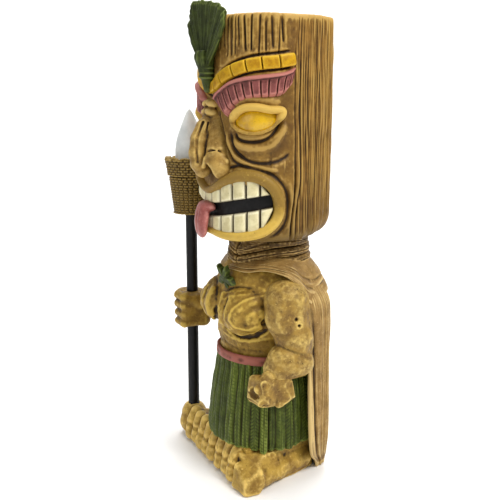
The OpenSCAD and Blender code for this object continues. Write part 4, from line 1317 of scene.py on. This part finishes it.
def build_cape():
    """Shell hanging down the back in folds, its front edges rolled."""
    u = np.linspace(-1, 1, 340)
    zs = np.linspace(146, 0.4, 176)
    U, Z = np.meshgrid(u, zs)
    x, y = cape_outline(Z, U)
    # outward direction in plan
    dx, dy = np.gradient(x, axis=1), np.gradient(y, axis=1)
    size = np.hypot(dx, dy) + 1e-9
    nx, ny = -dy / size, dx / size
    along = U * 66.0
    fold = np.zeros_like(Z)
    rng = np.random.default_rng(17)
    place = -64.0
    while place < 66:
        width = rng.uniform(1.2, 3.0)
        mid_s = place + rng.uniform(-5, 5) * (Z / 140.0)
        reach = smooth(rng.uniform(126, 142), rng.uniform(84, 118), Z)
        fold -= rng.uniform(0.6, 1.7) * reach * bump_at(along, mid_s, width)
        place += rng.uniform(4.0, 8.0)
    fold += 0.45 * noise2(along, Z, 2.4, 30.0, 141) + 0.22 * noise2(along, Z, 1.0, 12.0, 142)
    fold += 1.0 * smooth(0.96, 1.0, np.abs(U)) * smooth(134, 120, Z)
    thick = 2.6
    outer = np.stack([x + nx * fold, y + ny * fold, Z], axis=-1)
    inner = np.stack([x + nx * (fold - thick), y + ny * (fold - thick), Z], axis=-1)
    edge = 0.5 * (outer + inner) + np.array([0.0, -1.0, 0.0])
    left, right = edge[:, -1:], edge[:, :1]
    rings = np.concatenate([outer, left, inner[:, ::-1], right], axis=1)
    add_mesh("cape_folds", *closed_tube(rings), cape_cloth, "cape_resin", ["cape"], soften=(3, 22))


# lower edge of the shawl by the angle round from the front: height and distance from the axis
SHAWL_Z = [(0, 136.6), (12, 137), (45, 138), (59, 139.6), (71, 138.8), (82, 135.6), (91, 129.0), (97, 122),
           (106, 117), (130, 119), (180, 121)]
SHAWL_R = [(0, 29.0), (12, 29.4), (45, 33.8), (59, 35.6), (71, 38.6), (82, 42.2), (91, 44.6), (97, 44.8),
           (106, 43.6), (120, 42.0), (135, 41.0), (150, 38.6), (180, 34.6)]


def build_shawl():
    """The cape's upper part, which lies over chest and shoulders and meets at the throat."""
    phi = around(460)
    a = np.abs(np.degrees(phi))
    low_z, low_r = curve(a, SHAWL_Z), curve(a, SHAWL_R)
    # right of the throat it lies lower and closer
    turn = np.degrees(phi)
    close = smooth(8, -22, turn) * smooth(-85, -50, turn)
    low_z, low_r = low_z - 3.0 * close, low_r - 2.2 * close
    rows = []
    neck_z = 146.0
    front = smooth(100, 70, a)
    for v in np.linspace(0, 1, 66):
        z = neck_z + (low_z - neck_z) * v
        r = 22.0 + (low_r - 22.0) * math.sin(0.5 * math.pi * v) ** (0.85 + 0.75 * smooth(75, 20, a))
        s = phi * 38
        drift = 16 * v * np.sign(phi)
        fold = 0.55 * noise2(s + drift, 26 * v + s * 0.2, 12.0, 4.0, 152)
        fold = fold + 0.3 * noise2(s + drift, 40 * v + s * 0.1, 9.0, 1.8, 153)
        # two hems: the shawl's own, and a fold that runs beside it over the shoulder
        fold = fold - 1.5 * bump_at(v, 0.80 - 0.12 * smooth(50, 90, a), 0.03) * front
        fold = fold + 1.3 * bump_at(v, 0.93, 0.05) * front
        fold = fold - 0.9 * bump_at(v, 0.52 + 0.12 * smooth(40, 95, a), 0.035) * smooth(25, 55, a)
        fold = fold - 0.8 * bump_at(v, 0.32 + 0.2 * smooth(60, 130, a), 0.04) * smooth(45, 75, a)
        tuck = -3.0 * smooth(0.86, 1.0, v) * smooth(100, 112, a)
        r = r + fold + tuck
        rows.append(level_ring(phi, r, z, (0, 0.8 * (1 - v))))
    for inset, up in ((2.4, 0.2), (5.0, 3.0)):
        r = low_r - inset - 3.0 * smooth(100, 112, a)
        rows.append(level_ring(phi, r, low_z + up))
    rows.append(level_ring(phi, 16, neck_z - 0.5))
    add_mesh("cape_shawl", *ring_grid(rows), cape_cloth, "cape_resin", [], soften=(3, 18))


def build_scarf():
    """Three laps of cloth wound round the neck, meeting in a point at the throat."""
    phi = around(460)
    deg = np.degrees(phi)
    # how far each lap dips towards the throat, which is a little to the left of the middle
    dip = np.exp(-((np.abs(deg - 12) / 60.0) ** 1.1))
    rows = []
    for t in np.linspace(0, 1, 76):
        z = 141.5 + 17.9 * t
        lap = 3.0 * t + 1.15 * dip * smooth(1.05, 0.5, t) + 0.1 * np.sin(3 * phi + 1.0)
        part = lap - np.floor(lap)
        roll = 2.9 * np.sqrt(np.clip(1 - (2 * part - 1) ** 2, 0, 1)) - 0.7 * bump_at(part, 0.5, 0.06)
        roll = roll - 0.8 * bump_at(np.minimum(part, 1 - part), 0, 0.05)
        r = 25.6 - 2.2 * t + roll - 2.4 * smooth(0.95, 1.0, t) - 1.2
        r = r + 0.4 * noise2(phi * 28, z + 8 * dip, 8.0, 1.4, 161) + 0.25 * noise2(phi * 28, z, 2.0, 0.8, 162)
        seam = bump_at(deg, 13 - 5 * t, 1.8) * smooth(0.9, 0.5, t)
        r = r - 1.6 * seam
        rows.append(np.stack([r * np.sin(phi), 1.0 - r * np.cos(phi) * 1.02, z - 0.8 * dip * (1 - t)],
                             axis=1))
    rows += [level_ring(phi, 15, 159.3), level_ring(phi, 15, 142.0)]
    add_mesh("neck_wraps", *ring_grid(rows), cloth, "cape_resin", ["neck_scarf"], soften=(3, 14))


def build_brooch():
    c = Clay((-8, -48, 116), (22, -22, 150), 0.5)
    x, y, z = c.local((6.5, -32.9, 132.4), (20, 0, 12))
    x, z = x * 1.22, z * 0.82
    ang = np.arctan2(x, z)
    r = np.sqrt(x * x + z * z)
    down = ang - math.pi
    lobe = 3.9 + 5.8 * np.abs(np.cos(2.5 * down)) ** 2.2 + 0.7 * np.cos(20 * down)
    lobe = lobe * (1 + 0.28 * bump_at(np.abs(ang), math.pi, 0.6) - 0.25 * bump_at(ang, 0, 0.7))
    edge = (r - lobe) * 0.75
    dome = np.abs(y) - (2.4 - 0.05 * r - 0.7 * bump_at(np.sin(2.5 * ang), 0, 0.16) * smooth(0.5, 3, r))
    leaf = keep(edge, dome, 1.2) + 0.18 * c.noise(1.4, 171)
    sculpt("leaf_brooch_carved", c, leaf, leaf_green, "green_paint", ["leaf_brooch"], soften=(3, 10))


# ------------------------------------------------------------------ feet
def walls(clay, corners, k=1.5):
    """Upright prism over a convex outline, given counter-clockwise."""
    out = None
    for (ax, ay), (bx, by) in zip(corners, corners[1:] + corners[:1]):
        length = math.hypot(bx - ax, by - ay)
        nx, ny = (by - ay) / length, -(bx - ax) / length
        d = (clay.x - ax) * nx + (clay.y - ay) * ny
        out = d if out is None else keep(out, d, k)
    return out


COVER = (-2, -6)  # middle of the bottom cover, which the feet leave open


def build_foot(name, node, outline, toe_x, seed, extra):
    """A block with tall toe ribs down its front; the skirt's hem rests on its upper edge."""
    c = Clay((-74, -47, -1), (56, 26, 29), 0.7)
    body = keep(walls(c, outline, 2.0), np.maximum(c.z - 21.5, -c.y - 33.5), 1.5)
    width = toe_x[1] - toe_x[0]
    r = 0.5 * abs(width) - 0.2
    for k, x in enumerate(toe_x):
        step = 0.7 * (k % 2)
        tip = c.limb((x, -36.4 + step, 4.9), (x, -36.2 + step, 8.6), r, r - 0.2)
        upper = c.limb((x, -35.0 + step, 14.4), (x, -32.4, 21.0), r - 0.3, r - 0.6)
        body = join(body, join(tip, upper, 1.4), 0.5)
        body = cuts(body, c, ([(x - r, -41.4 + step, 12.2), (x + r, -41.4 + step, 11.8 + step)], 0.9, 0.9))
        body = carve(body, c.egg((x + 0.6, -39.0, 17.6), (1.5, 0.7, 0.7), (-30, 14, 0)), 0.5)
    for gap in [x + width / 2 for x in toe_x]:
        body = cuts(body, c, ([(gap, -43.2, 0), (gap, -39.8, 12), (gap, -36.0, 23.0)], 1.1, 0.5))
    # the two feet part at the front
    body = cuts(body, c, ([(-4.0, -43.5, 0), (-4.0, -40.5, 12), (-4.0, -36.0, 23)], 2.0, 0.8))
    body = extra(c, body)
    body = chipped(c, body, seed, 0.7)
    body = carve(body, c.brick((COVER[0], COVER[1], 5), (27, 21, 8), 1.0))
    body = keep(body, 0.3 - c.z)
    sculpt(name, c, body, ochre_foot, "skin_resin", [node], soften=(3, 16))


def left_extra(c, body):
    """Big toe, ankle and heel."""
    big = c.brick((36.4, -32.4, 7.6), (9.4, 6.2, 9.0), 3.4, (-8, 3, 8))
    body = join(body, big, 1.4)
    body = join(body, c.limb((38.6, -30.0, 7.0), (32.4, -9.0, 8.0), 7.4, 6.8), 3.0)
    body = join(body, c.limb((35.5, -28.0, 13.5), (30.0, -11.0, 15.5), 6.6, 6.2), 3.0)
    body = flats(body, c, 2.0, ((41.0, -28, 16.5), (0.4, -0.42, 0.8)))
    body = flats(body, c, 1.6, ((45.6, -30, 8), (1, -0.1, 0.1)))
    body = cuts(body, c, ([(27.6, -40.6, 13.4), (36, -40.0, 14.6), (45, -35.5, 14.8)], 0.7, 1.2),
                ([(27.3, -41.6, 0), (27.3, -41, 12), (27.2, -37, 23)], 1.2, 0.8),
                ([(38.4, -11, 0), (37.4, -9.5, 10), (36.6, -10.5, 20)], 0.8, 1.0))
    body = join(body, c.limb((31.5, -9.0, 9.0), (25.0, 14.0, 8.5), 6.5, 6.4), 3.0)
    return keep(body, -(c.x + 3.2), 0.6)


def right_extra(c, body):
    """Boss with the pole's socket."""
    boss = c.limb((*POLE, 9.5), (*POLE, 15.5), 10.6, 9.2)
    body = join(body, boss, 1.5)
    bore = np.sqrt((c.x - POLE[0]) ** 2 + (c.y - POLE[1]) ** 2) - 4.1
    body = carve(body, np.maximum(bore, 8.5 - c.z))
    return keep(body, c.x + 4.8, 0.6)


def build_feet():
    build_foot("left_foot_carved", "left_foot",
               [(-3.2, -35), (40, -36), (45.4, -32), (44.4, -24), (37.2, -7), (32.0, 8.5), (28.4, 15.5),
                (26.6, 23), (-3.2, 23)], [2.2, 12.0, 21.8], 181, left_extra)
    build_foot("right_foot_carved", "right_foot",
               [(-4.8, 23), (-26, 23), (-30, 15), (-36, 7), (-47, -12), (-57, -26), (-57, -31), (-52, -35),
                (-4.8, -35)], [-10.2, -20.0, -29.8, -39.6, -49.0], 191, right_extra)


# ------------------------------------------------------------------ torch
def build_basket():
    phi = np.linspace(0, 2 * math.pi, 300, endpoint=False)
    rag = 1.3 * noise2(phi * 16, phi * 0, 2.2, 1.0, 201)
    rows = []
    for t in np.linspace(0, 1, 110):
        z = BASKET_Z0 + (BASKET_Z1 - 1.0 - BASKET_Z0) * t + rag * smooth(0.9, 1.0, t)
        r = curve(t, [(0, 11.2), (0.3, 12.7), (0.65, 14.4), (1.0, 16.0)])
        course = z / 1.75
        row = np.floor(course)
        across = phi * 25.0 / (2 * math.pi) + 0.5 * (row % 2) + 0.2 * np.sin(3 * row)
        dent = np.minimum(1 - np.abs(2 * (course - row) - 1), 1 - np.abs(2 * (across - np.floor(across)) - 1))
        weave = 0.75 * smooth(0.0, 0.5, dent)
        top = smooth(0.685, 0.70, t)
        r = r + weave + 0.8 * top + 0.4 * smooth(0.88, 0.9, t) + 0.5 * bump_at(t, 0.0, 0.03)
        r = r - 0.9 * bump_at(t, 0.68, 0.012) + 0.2 * noise2(phi * 15, z, 1.6, 1.2, 202)
        rows.append(level_ring(phi, r, z, POLE))
    # over the rim, down the inside, and through the floor's hole to the underside
    rim = rows[-1][:, 2]
    for r, z in ((14.2, rim + 0.2), (13.6, rim - 1.5), (12.6, 196), (10.6, 184), (9.9, 174.2), (4.2, 173.2),
                 (4.2, 165.2), (10.4, 165.0)):
        rows.append(level_ring(phi, r, z, POLE))
    add_mesh("torch_basket_woven", *ring_grid(rows), basket, "basket_resin", ["torch_basket"],
             soften=(2, 10))


def build_flame():
    """Moulded frosted flame: a drop with a soft twist, hollow inside."""
    phi = np.linspace(0, 2 * math.pi, 120, endpoint=False)
    low, high = 181.7, 236.8
    wall = [(181.7, 7.4), (190, 9.0), (199, 10.1), (207, 10.35), (215, 9.5), (222, 7.4), (228, 5.0),
            (233, 2.7), (236.0, 1.0), (236.9, 0.15)]
    rows = []
    outside = [(t, True) for t in np.linspace(0, 1, 80)]
    inside = [(t, False) for t in np.linspace(0.93, 0, 40)]
    for t, outer in outside + inside:
        z = low + (high - low) * t
        r = curve(np.array([z]), wall)[0]
        if outer:
            r = r * (1 + 0.035 * np.cos(3 * (phi + 1.6 * t)) * smooth(0.2, 0.7, t))
        else:
            r = max(r - 1.7, 0.15)
        bend = -1.1 * smooth(0.5, 1.0, t)
        rows.append(level_ring(phi, r, z, (POLE[0] + bend, POLE[1])))
    add_mesh("flame_shade", *ring_grid(rows), frosted(), "diffuser", ["flame_lens"], soften=(2, 8))


def frosted():
    p = Paint("frosted_white")
    cloud = p.ramp(p.noise(9.0, 3.0), 0.35, 0.7)
    p.link("Base Color", p.mix(cloud, srgb(222, 224, 220), srgb(204, 207, 204)))
    p.link("Roughness", p.ramp(p.noise(2.0, 3.0, offset=2.0), 0.3, 0.7, 0.38, 0.52))
    p.bump(p.noise(0.8, 3.0, offset=4.0), 0.2, 0.0002)
    p.fixed(Subsurface_Weight=0.35, Subsurface_Radius=(0.004, 0.004, 0.004), Subsurface_Scale=1.0)
    return p.material


# brighter copy of the skin paint for the left arm and fist: its pale dry brush stands partly for heavier
# brushing and partly for painted light on the side that faces the key lamp
skin_with_painted_light = painted("arm_paint_lit_side", (156, 124, 56), (112, 84, 42), (224, 194, 110), patch=6.0, speck=1.0)
belt_pink = painted("belt_paint", (110, 58, 46), (80, 42, 32), (156, 92, 78), patch=5.0, speck=0.2)
cape_cloth = painted("cloak_paint", (158, 126, 72), (124, 94, 48), (206, 178, 118), patch=9.0, speck=0.4)
ochre_foot = painted("foot_paint", (176, 142, 60), (128, 96, 38), (230, 196, 108), patch=7.0, speck=0.7)
for build in (build_torso, build_left_arm, build_left_fist, build_right_arm, build_right_fist,
              build_skirt, build_belt, build_cape, build_shawl, build_scarf, build_brooch, build_feet,
              build_basket, build_flame):
    build()


# ------------------------------------------------------------------ CAD nodes that stay
def paint_cad():
    black_case = plastic("case_black", (26, 26, 28), (34, 34, 36), grain_mm=0.35)
    knob = plastic("knob_black", (18, 18, 20), (28, 28, 30), rough=(0.25, 0.4))
    steel = metal("zinc_steel", (186, 188, 190), (164, 166, 170))
    nickel = metal("nickel_plate", (208, 202, 190), (190, 184, 172), rough=(0.15, 0.3))
    looks = {
        "base_casting": ochre_foot,
        "torch_pole": pole_black,
        "solar_frame": black_case,
        "solar_cell": solar_glass(),
        "solar_gasket": plastic("foam_gasket", (30, 30, 32), (22, 22, 23), rough=(0.8, 0.95),
                                grain_mm=0.8, strength=0.5),
        "bottom_cover": black_case,
        "battery_door": plastic("door_black", (30, 30, 32), (38, 38, 40), grain_mm=0.3),
        "switch_knob": knob,
        "switch_body": steel,
        "cover_screws": steel,
        "contact_spring": nickel,
        "contact_plate": nickel,
        "battery_cell": plastic("cell_sleeve", (54, 122, 84), (40, 98, 66), rough=(0.2, 0.3),
                                Coat_Weight=0.4),
        "circuit_board": plastic("board_green", (22, 84, 44), (30, 104, 56), grain_mm=1.2,
                                 strength=0.4, Coat_Weight=0.3),
        "solar_wires": plastic("wire_red", (160, 34, 28), (130, 26, 22), rough=(0.35, 0.5)),
        "led_wires": plastic("wire_red_b", (160, 34, 28), (130, 26, 22), rough=(0.35, 0.5)),
        "led_plug": plastic("plug_white", (226, 224, 216), (212, 210, 202)),
        "led": plastic("led_epoxy", (238, 236, 214), (226, 224, 200), rough=(0.08, 0.15),
                       Transmission_Weight=0.6, IOR=1.5),
    }
    for name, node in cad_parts.items():
        if name in looks:
            node.data.materials.clear()
            node.data.materials.append(looks[name])


def solar_glass():
    """Dark cell strips with fine silver lines under clear epoxy."""
    p = Paint("solar_cell_glass")
    sep = p.nodes.new("ShaderNodeSeparateXYZ")
    p.links.new(p.coords, sep.inputs[0])
    bus = p.maths("PINGPONG", sep.outputs["X"], 0.0048)
    finger = p.maths("PINGPONG", sep.outputs["Y"], 0.0010)
    lines = p.maths("MAXIMUM", p.ramp(bus, 0.0004, 0.0002), p.times(p.ramp(finger, 0.00016, 0.00006), 0.5))
    cell = p.mix(p.ramp(p.noise(7.0, 3.0), 0.35, 0.65), srgb(22, 26, 58), srgb(34, 40, 86))
    p.link("Base Color", p.mix(lines, cell, srgb(150, 152, 160)))
    p.link("Roughness", p.ramp(p.noise(3.0, 2.0, offset=2.0), 0.3, 0.7, 0.14, 0.24))
    p.bump(p.noise(5.0, 2.0, offset=6.0), 0.1, 0.0001)
    p.fixed(Coat_Weight=0.8, Coat_Roughness=0.08)
    return p.material


paint_cad()


# ------------------------------------------------------------------ stage, light and camera
def build_stage():
    mesh = bpy.data.meshes.new("floor")
    half, flat, bend, top, steps = 3.0, 0.9, 0.5, 2.6, 12
    # floor that sweeps up into the backdrop behind the figure, seen from the camera
    toward = Vector((-math.sin(AZ), math.cos(AZ), 0))
    across = Vector((math.cos(AZ), math.sin(AZ), 0))
    profile = [(-half, 0.0), (flat, 0.0)]
    for k in range(1, steps + 1):
        a = math.pi / 2 * k / steps
        profile.append((flat + bend * math.sin(a), bend - bend * math.cos(a)))
    profile.append((flat + bend, top))
    verts, faces = [], []
    for d, h in profile:
        for w in (-half, half):
            v = toward * d + across * w
            verts.append((v.x, v.y, h - 0.0003))
    for k in range(len(profile) - 1):
        faces.append((2 * k, 2 * k + 1, 2 * k + 3, 2 * k + 2))
    mesh.from_pydata(verts, [], faces)
    mesh.polygons.foreach_set("use_smooth", [True] * len(faces))
    floor = bpy.data.objects.new("floor", mesh)
    bpy.context.collection.objects.link(floor)
    p = Paint("floor_paper")
    p.link("Base Color", p.mix(p.noise(60.0, 2.0), srgb(246, 246, 246), srgb(242, 242, 242)))
    p.fixed(Roughness=0.9, Specular_IOR_Level=0.1)
    mesh.materials.append(p.material)


def area_light(name, place, aim, size, power, tint):
    data = bpy.data.lights.new(name, "AREA")
    data.shape, data.size, data.energy, data.color = "DISK", size, power, tint
    obj = bpy.data.objects.new(name, data)
    bpy.context.collection.objects.link(obj)
    obj.location = place
    obj.rotation_euler = (Vector(aim) - Vector(place)).to_track_quat("-Z", "Y").to_euler()


AZ = math.radians(63.0)  # the camera looks from this far round the figure's left side
CAMERA_AWAY, CAMERA_HEIGHT = 0.5, 0.245
PITCH, YAW = math.radians(11.2), math.radians(1.33)


def build_camera():
    data = bpy.data.cameras.new("camera")
    data.sensor_width, data.lens = 36.0, 55.8
    data.clip_start, data.clip_end = 0.01, 20.0
    camera = bpy.data.objects.new("camera", data)
    bpy.context.collection.objects.link(camera)
    camera.location = (CAMERA_AWAY * math.sin(AZ), -CAMERA_AWAY * math.cos(AZ), CAMERA_HEIGHT)
    heading = Vector((-math.sin(AZ), math.cos(AZ), 0))
    across = Vector((math.cos(AZ), math.sin(AZ), 0))
    heading = heading * math.cos(YAW) - across * math.sin(YAW)
    look = heading * math.cos(PITCH) + Vector((0, 0, -math.sin(PITCH)))
    camera.rotation_euler = look.to_track_quat("-Z", "Y").to_euler()
    bpy.context.scene.camera = camera


def build_light():
    toward_camera = Vector((math.sin(AZ), -math.cos(AZ), 0))
    right = Vector((math.cos(AZ), math.sin(AZ), 0))
    middle = (0, 0, 0.16)
    backdrop = tuple(toward_camera * -1.25 + Vector((0, 0, 0.25)))
    # how far towards the camera, to its right and up each lamp stands; where it aims, its width and power
    lamps = (("key", 0.55, 0.55, 0.95, middle, 0.4, 10.0, (1.0, 0.98, 0.95)),
             ("fill", 0.8, -0.9, 0.5, middle, 0.9, 2.6, (0.97, 0.98, 1.0)),
             ("top", -0.3, 0.0, 1.5, middle, 1.2, 12.0, (1, 1, 1)),
             ("backdrop", -0.45, 0.0, 1.3, backdrop, 0.7, 9.0, (1, 1, 1)))
    for name, near, aside, up, aim, size, power, tint in lamps:
        area_light(name, toward_camera * near + right * aside + Vector((0, 0, up)), aim, size, power, tint)
    world = bpy.data.worlds.new("studio")
    world.use_nodes = True
    world.node_tree.nodes["Background"].inputs["Color"].default_value = (1, 1, 1, 1)
    world.node_tree.nodes["Background"].inputs["Strength"].default_value = 0.42
    bpy.context.scene.world = world
    bpy.context.scene.view_settings.view_transform = "Standard"


build_stage()
build_camera()
build_light()
